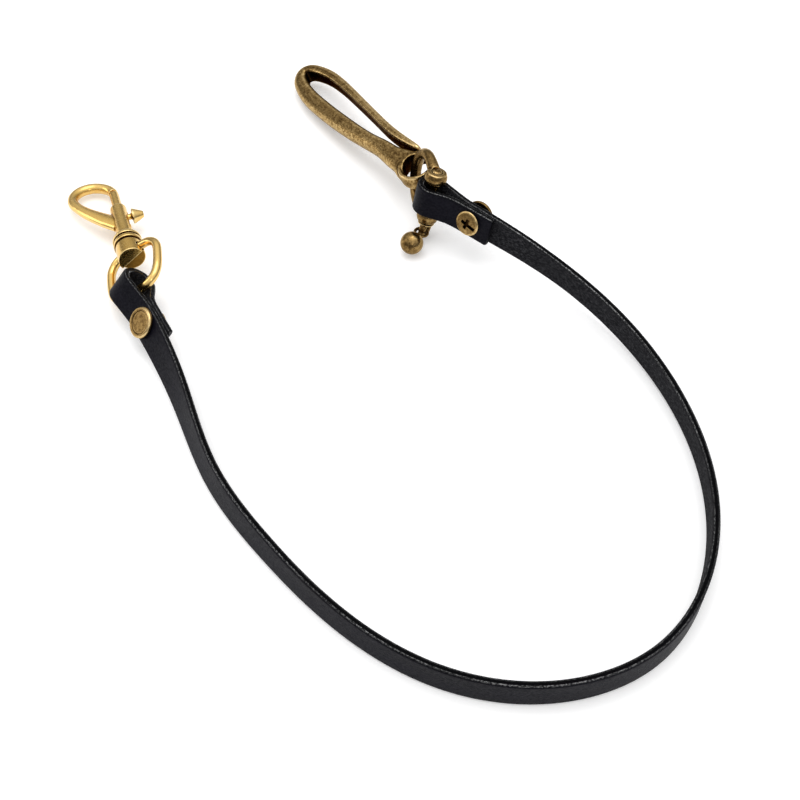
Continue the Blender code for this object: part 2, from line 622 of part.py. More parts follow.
# The hook swings on the crown of the bow, so its origin is there.
BOW_AT = PIN_AT + (SHACKLE_M.to_3x3() @ Vector((1, 0, 0))) * (BOW_C + BOW_R)
FISH_M = place(BOW_AT, FISH_X, FISH_Y, FISH_Z)
eye_off = FISH_M.to_3x3().transposed() @ (FISH_EYE - BOW_AT)
fish = tube_object("fish_hook", fish_rings(44, 3, eye_off), FISH_M, ANTIQUE)
EYE3_M = place(FISH_EYE, FISH_X, FISH_Y, FISH_Z)
boolean(fish, rod("fish_hole", FISH_HOLE + 0.05, -8, 8, 28, EYE3_M), "DIFFERENCE")
rim = lathe_object("fish_eye", [
    (FISH_HOLE, -1.7), (FISH_HOLE + 0.8, -FISH_H / 2 + 0.5), (FISH_RIM - 1.0, -FISH_H / 2 + 0.5), (FISH_RIM, -1.6),
    (FISH_RIM, 1.6), (FISH_RIM - 1.0, FISH_H / 2 - 0.5), (FISH_HOLE + 0.8, FISH_H / 2 - 0.5), (FISH_HOLE, 1.7)],
    28, EYE3_M, ANTIQUE, closed=True, helper=True)
boolean(fish, rim, "UNION")

# ------------------------------------------------------ jump ring and ball drop
LINK_M = place(PIN_EYE_C, LINK_X, LINK_Y, LINK_X.cross(LINK_Y))
tube_object("jump_ring", planar_tube(
    [(LINK_AT + LINK_R + LINK_R * math.cos(2 * math.pi * k / 24), LINK_R * math.sin(2 * math.pi * k / 24))
     for k in range(24)], LINK_WIRE, 8, True), LINK_M, ANTIQUE, closed=True)

# The ball swings on the far side of the jump ring, so its origin is there.
BALL_M = frame_from(PIN_EYE_C + LINK_X * (LINK_AT + 2 * LINK_R), -LINK_X, LINK_Y)


def ball_profile(n):
    pts = [(0, -BALL_R)]
    for k in range(1, n):
        t = -math.pi / 2 + math.pi * k / n
        if BALL_R * math.sin(t) > BALL_R - 0.35:
            break
        pts.append((BALL_R * math.cos(t), BALL_R * math.sin(t)))
    return pts + [(1.1, BALL_R - 0.15), (0.9, BALL_R + 0.1), (0, BALL_R + 0.1)]


ball = lathe_object("ball_drop", [(r, z - SHANK_AT) for r, z in ball_profile(14)], 24, BALL_M, ANTIQUE)
shank = lathe_object("ball_shank", [(SHANK_HOLE, -0.45), (1.4, -0.45), (1.4, 0.45), (SHANK_HOLE, 0.45)], 16,
                     BALL_M @ Matrix.Rotation(math.pi / 2, 4, "Y"), ANTIQUE, closed=True, helper=True)
boolean(ball, shank, "UNION")
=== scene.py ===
"""Looks of the leather key lanyard: a black strap standing on its edge, a bright
brass bolt snap hanging from a D-ring at one end, an antique brass shackle and a
long fish hook at the other.

Lengths are in millimetres until a piece is finished, and then become metres.
"""

import math

import bmesh
import bpy
import numpy as np
from mathutils import Matrix, Vector, noise


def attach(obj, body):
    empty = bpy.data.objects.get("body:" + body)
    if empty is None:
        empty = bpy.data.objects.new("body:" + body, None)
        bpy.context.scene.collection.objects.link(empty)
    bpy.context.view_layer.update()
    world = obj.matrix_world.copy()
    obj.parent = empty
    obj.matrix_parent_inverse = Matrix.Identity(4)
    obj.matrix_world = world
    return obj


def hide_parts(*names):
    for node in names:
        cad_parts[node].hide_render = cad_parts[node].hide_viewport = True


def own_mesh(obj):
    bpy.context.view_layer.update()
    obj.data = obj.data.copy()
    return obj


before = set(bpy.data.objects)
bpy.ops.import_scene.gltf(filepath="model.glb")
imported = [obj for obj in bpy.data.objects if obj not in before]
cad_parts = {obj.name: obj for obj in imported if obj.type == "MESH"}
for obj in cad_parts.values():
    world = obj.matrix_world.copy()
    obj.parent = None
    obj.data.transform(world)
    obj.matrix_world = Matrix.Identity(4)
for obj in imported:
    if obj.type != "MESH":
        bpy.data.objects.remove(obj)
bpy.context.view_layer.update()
scene = bpy.context.scene

# ---------------------------------------------------------------- dimensions
STRAP_W, STRAP_T, LAYER_GAP = 10.0, 2.2, 0.4
MIDDLE = (-1.06, 0.99)
ROUTE = [
    (-67.5, -4.7, 4.6, 41.0), (-54.2, -31.6, 1.3, 26.0), (-42.3, -59.7, 0.0, 15.0), (-24.9, -84.6, 0.0, 9.0),
    (-3.9, -106.7, 0.0, 5.0), (21.8, -122.9, 0.0, 2.0), (51.7, -127.2, 0.0, 0.0), (79.5, -116.2, 0.0, 0.0),
    (96.1, -90.9, 0.0, -1.0), (100.4, -61.0, 0.0, 1.0), (94.8, -31.1, 0.4, 3.0), (81.2, -3.9, 2.2, 2.0),
    (60.8, 18.6, 5.9, 0.0), (36.6, 37.0, 9.5, -14.0),
]
START_SLOPE = (0.50, -0.866, -0.09, -0.3)
END_SLOPE = (-0.79, 0.613, 0.06, -0.3)
LEFT_LOOP_R, RIGHT_LOOP_R = 4.7, 4.4
LEFT_LOOP_A, RIGHT_LOOP_A = 15.5, 16.8
LEFT_LOOP_B, RIGHT_LOOP_B = 2.3, 1.7
TAB_END, HOLE_R = 8.0, 2.65

CAP_R, CAP_T, POST_R, POST_BORE = 5.0, 1.4, 2.3, 1.7
SCREW_HEAD_R, SCREW_HEAD_T, SCREW_R = 4.3, 1.15, 1.35
FACE_GAP = 0.3
CAP_GAP = {"left": 0.4, "right": 1.6}

RING_WIRE, RING_HALF_W, RING_PLAY, RING_BAR, RING_CORNER, BOSS_OFF = 1.45, 10.2, 1.5, 4.6, 5.6, 1.3
EYE_R, EYE_LEN, EYE_BAR_U, BAR_HOLE = 4.55, 10.6, -6.0, 2.25
BARREL_R, BARREL_TOP, BORE_R = 2.8, 20.7, 1.95
BOLT_R, BOLT_TRAVEL, BOLT_BOTTOM, BOLT_TIP, KNOB_U, HOOK_WIRE = 1.65, 5.0, 13.4, 31.0, 14.9, 1.8

BOW_WIRE, BOW_R, BOW_C, EAR_Z, EAR_R, EAR_T = 1.9, 9.5, 8.5, 7.6, 3.7, 3.8
PIN_R, PIN_EYE_Z, PIN_EYE_R, PIN_EYE_HOLE = 1.7, -13.0, 3.0, 1.5
FISH_H, FISH_HOLE, FISH_RIM = 6.4, 4.9, 6.75
LINK_R, LINK_WIRE, LINK_AT = 2.15, 0.42, 0.43
BALL_R, SHANK_AT, SHANK_HOLE = 3.9, 4.7, 0.8

TAU = 2 * math.pi


# -------------------------------------------------------------- frame helpers
def unit(v):
    v = Vector(v)
    v.normalize()
    return v


def place(origin, ex, ey, ez):
    m = np.identity(4)
    for i, c in enumerate((ex, ey, ez, origin)):
        m[:3, i] = c[:]
    return m


def frame_from(origin, ez, ex_hint):
    """Right-handed frame with the given z axis and x as near the hint as it goes."""
    ez = unit(ez)
    ex = Vector(ex_hint) - ez * ez.dot(Vector(ex_hint))
    ex.normalize()
    return place(origin, ex, ez.cross(ex), ez)


def shift(z):
    m = np.identity(4)
    m[2, 3] = z
    return m


def turn(angle, axis):
    return np.array(Matrix.Rotation(angle, 4, axis))


# --------------------------------------------------------------- mesh helpers
def grid(rows, cols, closed):
    i = np.arange(rows if closed else rows - 1)[:, None]
    k = np.arange(cols)[None, :]
    j = (i + 1) % rows
    return np.stack([i * cols + k, i * cols + (k + 1) % cols, j * cols + (k + 1) % cols, j * cols + k], -1).reshape(-1, 4)


def tube(rings, closed=False):
    """Skin of equal rings of points; an open tube gets flat ends."""
    rings = np.asarray(rings, float)
    r, c = rings.shape[:2]
    faces = grid(r, c, closed).tolist()
    if not closed:
        faces += [list(range(c))[::-1], list(range((r - 1) * c, r * c))]
    return rings.reshape(-1, 3), faces


def lathe(profile, n, closed=False):
    """Turns (radius, z) points about Z. Radius 0 ends on the axis."""
    a = np.arange(n) * TAU / n
    verts, faces, rows = [], [], []
    for r, z in profile:
        at = sum(len(v) for v in verts)
        if r < 1e-6:
            verts.append(np.array([[0.0, 0.0, z]]))
            rows.append([at])
        else:
            verts.append(np.stack([r * np.cos(a), r * np.sin(a), np.full(n, z)], 1))
            rows.append(list(range(at, at + n)))
    pairs = list(zip(rows, rows[1:])) + ([(rows[-1], rows[0])] if closed else [])
    for p, q in pairs:
        for k in range(n):
            j = (k + 1) % n
            if len(p) == 1 and len(q) == 1:
                continue
            if len(p) == 1:
                faces.append([p[0], q[j], q[k]])
            elif len(q) == 1:
                faces.append([p[k], p[j], q[0]])
            else:
                faces.append([p[k], p[j], q[j], q[k]])
    return np.concatenate(verts), faces


def fillet(profile, radius, steps=4, closed=False):
    """Rounds the corners of a profile; radius is one number or one for each point."""
    n = len(profile)
    out = []
    for i, p in enumerate(profile):
        p = np.array(p, float)
        r = radius[i] if isinstance(radius, (list, tuple)) else radius
        if (not closed and i in (0, n - 1)) or r <= 0:
            out.append(tuple(p))
            continue
        a, b = np.array(profile[i - 1], float), np.array(profile[(i + 1) % n], float)
        la, lb = np.linalg.norm(a - p), np.linalg.norm(b - p)
        d = min(r, 0.48 * la, 0.48 * lb)
        p0, p1 = p + (a - p) / la * d, p + (b - p) / lb * d
        for t in np.linspace(0, 1, steps + 1):
            out.append(tuple((1 - t) ** 2 * p0 + 2 * t * (1 - t) * p + t * t * p1))
    return out


def dense(profile, step, closed=False):
    """Adds points so that no stretch of a profile is longer than step."""
    out = []
    pts = list(profile) + ([profile[0]] if closed else [])
    for a, b in zip(pts, pts[1:]):
        n = max(1, int(math.ceil(math.hypot(b[0] - a[0], b[1] - a[1]) / step)))
        for k in range(n):
            out.append((a[0] + (b[0] - a[0]) * k / n, a[1] + (b[1] - a[1]) * k / n))
    if not closed:
        out.append(pts[-1])
    return out


def box(lo, hi):
    v = [(x, y, z) for x in (lo[0], hi[0]) for y in (lo[1], hi[1]) for z in (lo[2], hi[2])]
    return np.array(v, float), [[0, 1, 3, 2], [4, 6, 7, 5], [0, 4, 5, 1], [2, 3, 7, 6], [0, 2, 6, 4], [1, 5, 7, 3]]


def rod(radius, z0, z1, n=64):
    return lathe([(0, z0), (radius, z0), (radius, z1), (0, z1)], n)


def solid(name, shape, m=None):
    """Blender object from vertices and faces, still in millimetres."""
    verts, faces = shape
    if m is not None:
        verts = verts @ m[:3, :3].T + m[:3, 3]
    me = bpy.data.meshes.new(name)
    me.from_pydata(verts.tolist(), [], faces)
    bm = bmesh.new()
    bm.from_mesh(me)
    bmesh.ops.remove_doubles(bm, verts=bm.verts, dist=1e-5)
    bmesh.ops.recalc_face_normals(bm, faces=bm.faces)
    bm.to_mesh(me)
    bm.free()
    ob = bpy.data.objects.new(name, me)
    scene.collection.objects.link(ob)
    return ob


def settle(ob):
    """Applies the object's modifiers to its mesh."""
    dg = bpy.context.evaluated_depsgraph_get()
    dg.update()
    me = bpy.data.meshes.new_from_object(ob.evaluated_get(dg), depsgraph=dg)
    ob.modifiers.clear()
    old, ob.data = ob.data, me
    bpy.data.meshes.remove(old)
    return ob


def drop(*obs):
    for o in obs:
        me = o.data
        bpy.data.objects.remove(o, do_unlink=True)
        bpy.data.meshes.remove(me)


def cut(ob, *cutters):
    for c in cutters:
        mod = ob.modifiers.new("cut", "BOOLEAN")
        mod.object = c
        mod.operation = "DIFFERENCE"
        mod.solver = "EXACT"
    settle(ob)
    drop(*cutters)
    return ob


def merge(name, *obs):
    """One mesh of several closed ones, which may overlap."""
    bm = bmesh.new()
    for o in obs:
        bm.from_mesh(o.data)
    me = bpy.data.meshes.new(name)
    bm.to_mesh(me)
    bm.free()
    drop(*obs)
    ob = bpy.data.objects.new(name, me)
    scene.collection.objects.link(ob)
    return ob


def arrays(me):
    v = np.empty(len(me.vertices) * 3, np.float32)
    me.vertices.foreach_get("co", v)
    e = np.empty(len(me.edges) * 2, np.int32)
    me.edges.foreach_get("vertices", e)
    return v.reshape(-1, 3).astype(float), e.reshape(-1, 2)


def average(x, e):
    n = len(x)
    s = np.stack([np.bincount(e[:, 0], x[e[:, 1], k], n) + np.bincount(e[:, 1], x[e[:, 0], k], n)
                  for k in range(x.shape[1])], 1)
    c = np.bincount(e[:, 0], minlength=n) + np.bincount(e[:, 1], minlength=n)
    return s / np.maximum(c, 1)[:, None]


def put(me, v):
    me.vertices.foreach_set("co", v.astype(np.float32).ravel())
    me.update()


def cast(ob, voxel, rounds):
    """Skins everything with one fine, softened surface, as a casting has."""
    mod = ob.modifiers.new("skin", "REMESH")
    mod.mode = "VOXEL"
    mod.voxel_size = voxel
    mod.adaptivity = 0.0
    settle(ob)
    v, e = arrays(ob.data)
    for _ in range(rounds):
        v = v + 0.5 * (average(v, e) - v)
        v = v - 0.52 * (average(v, e) - v)
    put(ob.data, v)
    return ob


def attribute(me, name, values, kind="FLOAT"):
    at = me.attributes.get(name) or me.attributes.new(name, kind, "POINT")
    at.data.foreach_set("vector" if kind == "FLOAT_VECTOR" else "value", np.asarray(values, np.float32).ravel())


def relief(ob, rounds, span):
    """How far each point stands out of its surroundings: 0.5 on a flat, 1 on a worn edge, 0 in a groove."""
    me = ob.data
    v, e = arrays(me)
    s = v
    for _ in range(rounds):
        s = 0.5 * s + 0.5 * average(s, e)
    n = np.empty(len(me.vertices) * 3, np.float32)
    me.vertices.foreach_get("normal", n)
    h = ((v - s) * n.reshape(-1, 3)).sum(1) / span
    h = np.clip(0.5 + 0.5 * h, 0, 1)[:, None]
    for _ in range(2):
        h = 0.5 * h + 0.5 * average(h, e)
    attribute(me, "relief", h)


def paint_shade(ob, m, where, level=0.08):
    """Paints shade into the relief: points that `where` picks by local position get a relief no higher than level, so
    they come out dark.
    """
    v, _ = arrays(ob.data)
    h = np.empty(len(v), np.float32)
    ob.data.attributes["relief"].data.foreach_get("value", h)
    local = (v - m[:3, 3]) @ m[:3, :3]
    attribute(ob.data, "relief", np.where(where(*local.T), np.minimum(h, level), h))


def piece(ob, node, body, mat, sharp=None):
    """Finishes a piece: metres, shading, material, and the body that it rides on."""
    v, _ = arrays(ob.data)
    put(ob.data, v * 0.001)
    ob.name = ob.data.name = node + "_fine"
    ob.data.materials.clear()
    ob.data.materials.append(mat)
    ob.data.shade_smooth()
    if sharp:
        ob.data.set_sharp_from_angle(angle=math.radians(sharp))
    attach(ob, body)
    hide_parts(node)
    return ob


# ------------------------------------------------------------------ materials
class Nodes:
    def __init__(self, name):
        self.mat = bpy.data.materials.new(name)
        self.mat.use_nodes = True
        self.tree = self.mat.node_tree
        self.bsdf = self.tree.nodes["Principled BSDF"]

    def new(self, kind, **props):
        n = self.tree.nodes.new(kind)
        for k, v in props.items():
            setattr(n, k, v)
        return n

    def link(self, a, b):
        self.tree.links.new(a, b)

    def feed(self, socket, value):
        if isinstance(value, bpy.types.NodeSocket):
            self.link(value, socket)
        else:
            socket.default_value = value

    def math(self, op, a, b=0.0, clamp=False):
        n = self.new("ShaderNodeMath", operation=op, use_clamp=clamp)
        self.feed(n.inputs[0], a)
        self.feed(n.inputs[1], b)
        return n.outputs[0]

    def attr(self, name, vector=False):
        n = self.new("ShaderNodeAttribute", attribute_name=name)
        return n.outputs["Vector" if vector else "Fac"]

    def coords(self):
        return self.new("ShaderNodeTexCoord").outputs["Object"]

    def stretch(self, vec, scale):
        n = self.new("ShaderNodeMapping")
        self.link(vec, n.inputs["Vector"])
        n.inputs["Scale"].default_value = scale
        return n.outputs[0]

    def noise(self, vec, scale, detail=4.0, rough=0.55, distort=0.0):
        n = self.new("ShaderNodeTexNoise")
        self.link(vec, n.inputs["Vector"])
        for k, v in (("Scale", scale), ("Detail", detail), ("Roughness", rough), ("Distortion", distort)):
            n.inputs[k].default_value = v
        return n.outputs["Fac"]

    def cells(self, vec, scale, feature="F1", random=1.0):
        n = self.new("ShaderNodeTexVoronoi", feature=feature)
        self.link(vec, n.inputs["Vector"])
        n.inputs["Scale"].default_value = scale
        n.inputs["Randomness"].default_value = random
        return n.outputs["Distance"]

    def ramp(self, fac, stops):
        n = self.new("ShaderNodeValToRGB")
        self.link(fac, n.inputs[0])
        el = n.color_ramp.elements
        while len(el) < len(stops):
            el.new(0.5)
        for s, (at, col) in zip(el, stops):
            s.position = at
            s.color = (*col, 1.0) if isinstance(col, tuple) else (col, col, col, 1.0)
        return n.outputs["Color"]

    def span(self, value, a, b, lo, hi):
        n = self.new("ShaderNodeMapRange")
        self.link(value, n.inputs["Value"])
        for k, v in (("From Min", a), ("From Max", b), ("To Min", lo), ("To Max", hi)):
            n.inputs[k].default_value = v
        return n.outputs[0]

    def mix(self, fac, a, b):
        n = self.new("ShaderNodeMix", data_type="RGBA")
        self.feed(n.inputs[0], fac)
        self.feed(n.inputs[6], a)
        self.feed(n.inputs[7], b)
        return n.outputs[2]

    def mixf(self, fac, a, b):
        n = self.new("ShaderNodeMix", data_type="FLOAT")
        self.feed(n.inputs[0], fac)
        self.feed(n.inputs[2], a)
        self.feed(n.inputs[3], b)
        return n.outputs[0]

    def bump(self, height, strength, distance):
        n = self.new("ShaderNodeBump")
        self.link(height, n.inputs["Height"])
        n.inputs["Strength"].default_value = strength
        n.inputs["Distance"].default_value = distance
        self.link(n.outputs[0], self.bsdf.inputs["Normal"])

    def to(self, socket, value):
        self.feed(self.bsdf.inputs[socket], value)


def leather():
    """Dyed black leather: smooth grain side, nappy flesh side, burnished edges."""
    k = Nodes("black_leather_fine")
    p = k.attr("strap", True)              # millimetres along, across and round the strap
    flesh, edge = k.attr("flesh"), k.attr("edge")
    pores = k.cells(k.stretch(p, (0.85, 1.1, 1.1)), 2.6, "SMOOTH_F1")
    fine = k.noise(p, 4.5, 5, 0.6)
    hide = k.noise(k.stretch(p, (0.8, 1.0, 1.0)), 1.5, 5, 0.7)
    broad = k.noise(k.stretch(p, (0.05, 0.16, 0.2)), 1.0, 3, 0.5)
    fibre = k.noise(k.stretch(p, (0.8, 1.5, 1.5)), 1.3, 7, 0.74, 0.5)
    beads = k.noise(k.stretch(p, (1.0, 0.5, 0.5)), 1.7, 3, 0.6, 0.3)
    crackle = k.noise(k.stretch(p, (1.5, 1.0, 1.0)), 1.7, 4, 0.6, 0.8)
    grain_col = k.ramp(k.math("ADD", k.math("MULTIPLY", broad, 0.45), k.math("MULTIPLY", hide, 0.55)),
                       [(0.32, (0.0014, 0.0013, 0.0030)), (0.68, (0.0062, 0.0059, 0.0105))])
    flesh_col = k.ramp(fibre, [(0.36, (0.0012, 0.0012, 0.0018)), (0.5, (0.0110, 0.0110, 0.0130)), (0.66, (0.052, 0.052, 0.056))])
    edge_col = k.ramp(crackle, [(0.35, (0.0008, 0.0008, 0.0012)), (0.65, (0.0036, 0.0036, 0.0044))])
    k.to("Base Color", k.mix(edge, k.mix(flesh, grain_col, flesh_col), edge_col))
    grain_rough = k.span(k.math("ADD", k.math("MULTIPLY", fine, 0.5), k.math("MULTIPLY", broad, 0.5)), 0.3, 0.7, 0.40, 0.54)
    flesh_rough = k.span(fibre, 0.3, 0.7, 0.85, 0.68)
    edge_rough = k.span(crackle, 0.35, 0.65, 0.40, 0.24)
    k.to("Roughness", k.mixf(edge, k.mixf(flesh, grain_rough, flesh_rough), edge_rough))
    grain_h = k.math("ADD", k.math("MULTIPLY", pores, 0.35), k.math("MULTIPLY", hide, 0.9))
    flesh_h = k.math("MULTIPLY", fibre, 1.5)
    edge_h = k.math("MULTIPLY", crackle, 1.9)
    k.bump(k.mixf(edge, k.mixf(flesh, grain_h, flesh_h), edge_h), 0.55, 0.00016)
    # the corners are rubbed to a broken gloss
    corner = k.math("MULTIPLY", k.span(edge, 0.97, 0.86, 0.0, 1.0), k.span(edge, 0.42, 0.62, 0.0, 1.0))
    k.to("Coat Weight", k.math("MULTIPLY", k.math("MULTIPLY", corner, k.span(broad, 0.36, 0.54, 0.45, 1.0)), k.span(beads, 0.44, 0.62, 0.05, 1.0)))
    k.to("Coat Roughness", k.span(fine, 0.3, 0.7, 0.10, 0.20))
    k.to("Coat IOR", 2.1)
    k.to("Specular IOR Level", k.mixf(edge, k.mixf(flesh, k.span(hide, 0.3, 0.7, 0.02, 0.10), k.span(fibre, 0.3, 0.7, 0.01, 0.06)),
                                      k.span(crackle, 0.35, 0.65, 0.0, 0.035)))
    return k.mat


def bright_brass(name, rough=0.24):
    """Lacquered yellow brass: clean, darker where the relief is low, in its grooves and where painted shade is set into
    the relief.
    """
    k = Nodes(name)
    p = k.coords()
    r = k.attr("relief")
    cloud = k.noise(p, 260, 4, 0.55)
    tint = k.noise(p, 900, 5, 0.6)
    speck = k.noise(p, 3600, 3, 0.6)
    level = k.math("ADD", r, k.math("MULTIPLY", k.math("SUBTRACT", tint, 0.5), 0.10), True)
    level = k.math("ADD", level, k.math("MULTIPLY", k.math("SUBTRACT", cloud, 0.5), 0.12), True)
    k.to("Base Color", k.ramp(level, [(0.10, (0.075, 0.030, 0.004)), (0.32, (0.46, 0.245, 0.042)),
                                      (0.50, (0.70, 0.438, 0.112)), (0.85, (0.82, 0.605, 0.265))]))
    k.to("Roughness", k.span(k.math("ADD", k.math("MULTIPLY", tint, 0.6), k.math("MULTIPLY", speck, 0.4)),
                             0.3, 0.7, rough - 0.05, rough + 0.10))
    k.to("Metallic", 1.0)
    k.bump(k.math("ADD", k.math("MULTIPLY", tint, 0.7), k.math("MULTIPLY", speck, 0.3)), 0.06, 0.00008)
    return k.mat


def antique_brass(name, rough, grainy, wear, shift_by=0.0):
    """Darkened brass: brown-black patina in the hollows, rubbed through on the edges."""
    k = Nodes(name)
    p = k.coords()
    r, patina_and_painted_shade = k.attr("relief"), k.attr("patina_and_painted_shade")
    blotch = k.noise(p, 240, 5, 0.62)
    mottle = k.noise(p, 1000, 6, 0.68, 0.3)
    speck = k.noise(p, 3400, 4, 0.65)
    level = k.math("ADD", k.math("MULTIPLY", k.math("SUBTRACT", r, 0.5), wear), 0.47 + shift_by)
    level = k.math("ADD", level, k.math("MULTIPLY", k.math("SUBTRACT", blotch, 0.5), 0.35))
    level = k.math("ADD", level, k.math("MULTIPLY", k.math("SUBTRACT", mottle, 0.5), 1.40 * grainy))
    level = k.math("ADD", level, k.math("MULTIPLY", k.math("SUBTRACT", speck, 0.5), 1.35 * grainy))
    # a second attribute darkens it further, part by part: patina and painted shade
    level = k.math("SUBTRACT", level, k.math("MULTIPLY", patina_and_painted_shade, 0.42), True)
    k.to("Base Color", k.ramp(level, [(0.05, (0.020, 0.0095, 0.0036)), (0.28, (0.066, 0.036, 0.0125)),
                                      (0.50, (0.165, 0.100, 0.0345)), (0.74, (0.335, 0.218, 0.0820)),
                                      (0.97, (0.580, 0.420, 0.2000))]))
    k.to("Roughness", k.span(level, 0.2, 0.8, rough + 0.16, rough - 0.04))
    k.to("Metallic", 1.0)
    k.to("Specular Tint", k.ramp(level, [(0.10, (0.36, 0.23, 0.11)), (0.45, (0.92, 0.84, 0.70))]))
    k.bump(k.math("ADD", k.math("MULTIPLY", mottle, 0.6), k.math("MULTIPLY", speck, 0.4)), 0.12 + 0.8 * grainy, 0.00010)
    return k.mat


def spring_steel():
    k = Nodes("spring_steel_fine")
    p = k.coords()
    drawn = k.noise(p, 1500, 4, 0.6)
    k.to("Base Color", k.ramp(drawn, [(0.3, (0.30, 0.30, 0.31)), (0.7, (0.52, 0.52, 0.53))]))
    k.to("Roughness", k.span(drawn, 0.3, 0.7, 0.26, 0.42))
    k.to("Metallic", 1.0)
    return k.mat


LEATHER = leather()
SNAP_BRASS = bright_brass("bright_brass_snap", 0.22)
RING_BRASS = bright_brass("bright_brass_ring", 0.17)
CAST_BRASS = antique_brass("antique_brass_cast", 0.24, 1.0, 1.9, -0.07)
TURNED_BRASS = antique_brass("antique_brass_turned", 0.28, 0.60, 1.3, 0.0)
SHACKLE_BRASS = antique_brass("antique_brass_shackle", 0.20, 0.60, 2.0, -0.13)
BALL_BRASS = antique_brass("antique_brass_ball", 0.20, 0.75, 1.2, -0.22)
STEEL = spring_steel()


# --------------------------------------------------------------- strap layout
def spline(rows, count, ends=None):
    """Cubic spline through the rows by chord length: points and first derivatives."""
    p = np.array(rows, float)
    d = np.concatenate([[0.0], np.cumsum(np.hypot(*np.diff(p[:, :2], axis=0).T))])
    n = len(p)
    h = np.diff(d)
    a = np.zeros((n, n))
    r = np.zeros((n, p.shape[1]))
    a[0, 0] = a[-1, -1] = 1.0
    if ends:
        a[0, 0], a[0, 1] = 2 * h[0], h[0]
        r[0] = 6 * ((p[1] - p[0]) / h[0] - np.array(ends[0]))
        a[-1, -1], a[-1, -2] = 2 * h[-1], h[-1]
        r[-1] = 6 * (np.array(ends[1]) - (p[-1] - p[-2]) / h[-1])
    for i in range(1, n - 1):
        a[i, i - 1], a[i, i], a[i, i + 1] = h[i - 1], 2 * (h[i - 1] + h[i]), h[i]
        r[i] = 6 * ((p[i + 1] - p[i]) / h[i] - (p[i] - p[i - 1]) / h[i - 1])
    m = np.linalg.solve(a, r)
    out = []
    for s in np.linspace(0.0, d[-1], count):
        i = min(max(int(np.searchsorted(d, s)) - 1, 0), n - 2)
        u, v = d[i + 1] - s, s - d[i]
        pos = (m[i] * u ** 3 + m[i + 1] * v ** 3) / (6 * h[i]) \
            + (p[i] / h[i] - m[i] * h[i] / 6) * u + (p[i + 1] / h[i] - m[i + 1] * h[i] / 6) * v
        der = (m[i + 1] * v ** 2 - m[i] * u ** 2) / (2 * h[i]) \
            + (p[i + 1] - p[i]) / h[i] - (m[i + 1] - m[i]) * h[i] / 6
        out.append((pos, der))
    return out


def strap_run(count):
    out = []
    rows = [(x - MIDDLE[0], y - MIDDLE[1], lift, lean) for x, y, lift, lean in ROUTE]
    for pos, der in spline(rows, count, (START_SLOPE, END_SLOPE)):
        tan = unit(der[:3])
        inner = unit((-tan.y, tan.x, 0.0))
        up = tan.cross(inner)
        c, s = math.cos(math.radians(pos[3])), math.sin(math.radians(pos[3]))
        w = up * c + inner * s
        th = inner * c - up * s
        z = pos[2] + STRAP_W / 2 * c + STRAP_T / 2 * abs(s)
        out.append((Vector((pos[0], pos[1], z)), tan, w, th))
    return out


def bezier(p0, p1, p2, p3, count):
    out = []
    for t in np.linspace(0, 1, count):
        u = 1 - t
        pos = [u ** 3 * a + 3 * u * u * t * b + 3 * u * t * t * c + t ** 3 * d for a, b, c, d in zip(p0, p1, p2, p3)]
        der = [3 * u * u * (b - a) + 6 * u * t * (c - b) + 3 * t * t * (d - c) for a, b, c, d in zip(p0, p1, p2, p3)]
        out.append((pos, der))
    return out


def fold(loop_a, loop_b, loop_r, n_lead, n_arc, n_back, n_tab):
    """Folded end across the strap: a towards the nose, b to the inner side."""
    a0, a1 = math.radians(-100), math.radians(114)
    on = lambda t: (loop_a + loop_r * math.cos(t), loop_b + loop_r * math.sin(t))
    go = lambda t: (-math.sin(t), math.cos(t))
    p, q = on(a0), on(a1)
    d, e = go(a0), go(a1)
    tab = STRAP_T + LAYER_GAP
    pts = bezier((1.5, 0), (6.0, 0), (p[0] - 4 * d[0], p[1] - 4 * d[1]), p, n_lead)[1:]
    pts += [(on(t), go(t)) for t in np.linspace(a0, a1, n_arc)[1:]]
    pts += bezier(q, (q[0] + 5 * e[0], q[1] + 5 * e[1]), (8.5, tab), (3.6, tab), n_back)[1:]
    pts += [((a, tab), (-1.0, 0.0)) for a in np.linspace(3.6, -TAB_END, n_tab)[1:]]
    return pts


def end_stations(origin, nose, w, th, pts):
    out = []
    for (a, b), (da, db) in pts:
        k = math.hypot(da, db)
        out.append((origin + nose * a + th * b, w, (th * da - nose * db) / k))
    return out


RUN = strap_run(960)
LEFT_O, LEFT_T, LEFT_W, LEFT_TH = RUN[0][0], -RUN[0][1], RUN[0][2], RUN[0][3]
RIGHT_O, RIGHT_T, RIGHT_W, RIGHT_TH = RUN[-1]
FOLDING = (34, 48, 40, 30)
LEFT_SCREW = frame_from(LEFT_O, LEFT_TH, LEFT_W)
RIGHT_SCREW = frame_from(RIGHT_O, RIGHT_TH, RIGHT_W)
OUTER, INNER = -STRAP_T / 2, 1.5 * STRAP_T + LAYER_GAP
LEFT_LOOP = LEFT_O + LEFT_T * LEFT_LOOP_A + LEFT_TH * LEFT_LOOP_B
RIGHT_LOOP = RIGHT_O + RIGHT_T * RIGHT_LOOP_A + RIGHT_TH * RIGHT_LOOP_B


def strap_section():
    """Points round the strap: across, through and share of edge."""
    x, y, r = STRAP_W / 2, STRAP_T / 2, 0.74
    pts = []
    for sx, sy in ((1, 1), (-1, -1)):
        for t in np.linspace(-1, 1, 5)[1:-1]:                      # edge, a little crowned
            pts.append((sx * (x - 0.05 * t * t), sy * t * (y - r), 1.0))
        for t in np.linspace(0, math.pi / 2, 9):                    # corner
            pts.append((sx * (x - 0.04 - r + r * math.cos(t)), sy * (y - r + r * math.sin(t)), max(0.0, 1.0 - 0.95 * t / (math.pi / 2))))
        for t in np.linspace(1, -1, 15)[1:-1]:                      # face
            pts.append((sx * t * (x - 0.04 - r), sy * y, 0.0))
        for t in np.linspace(math.pi / 2, math.pi, 9):              # corner
            pts.append((sx * (-(x - 0.04 - r) + r * math.cos(t)), sy * (y - r + r * math.sin(t)), max(0.0, 0.95 * (t / (math.pi / 2) - 1.0) + 0.05)))
    return pts


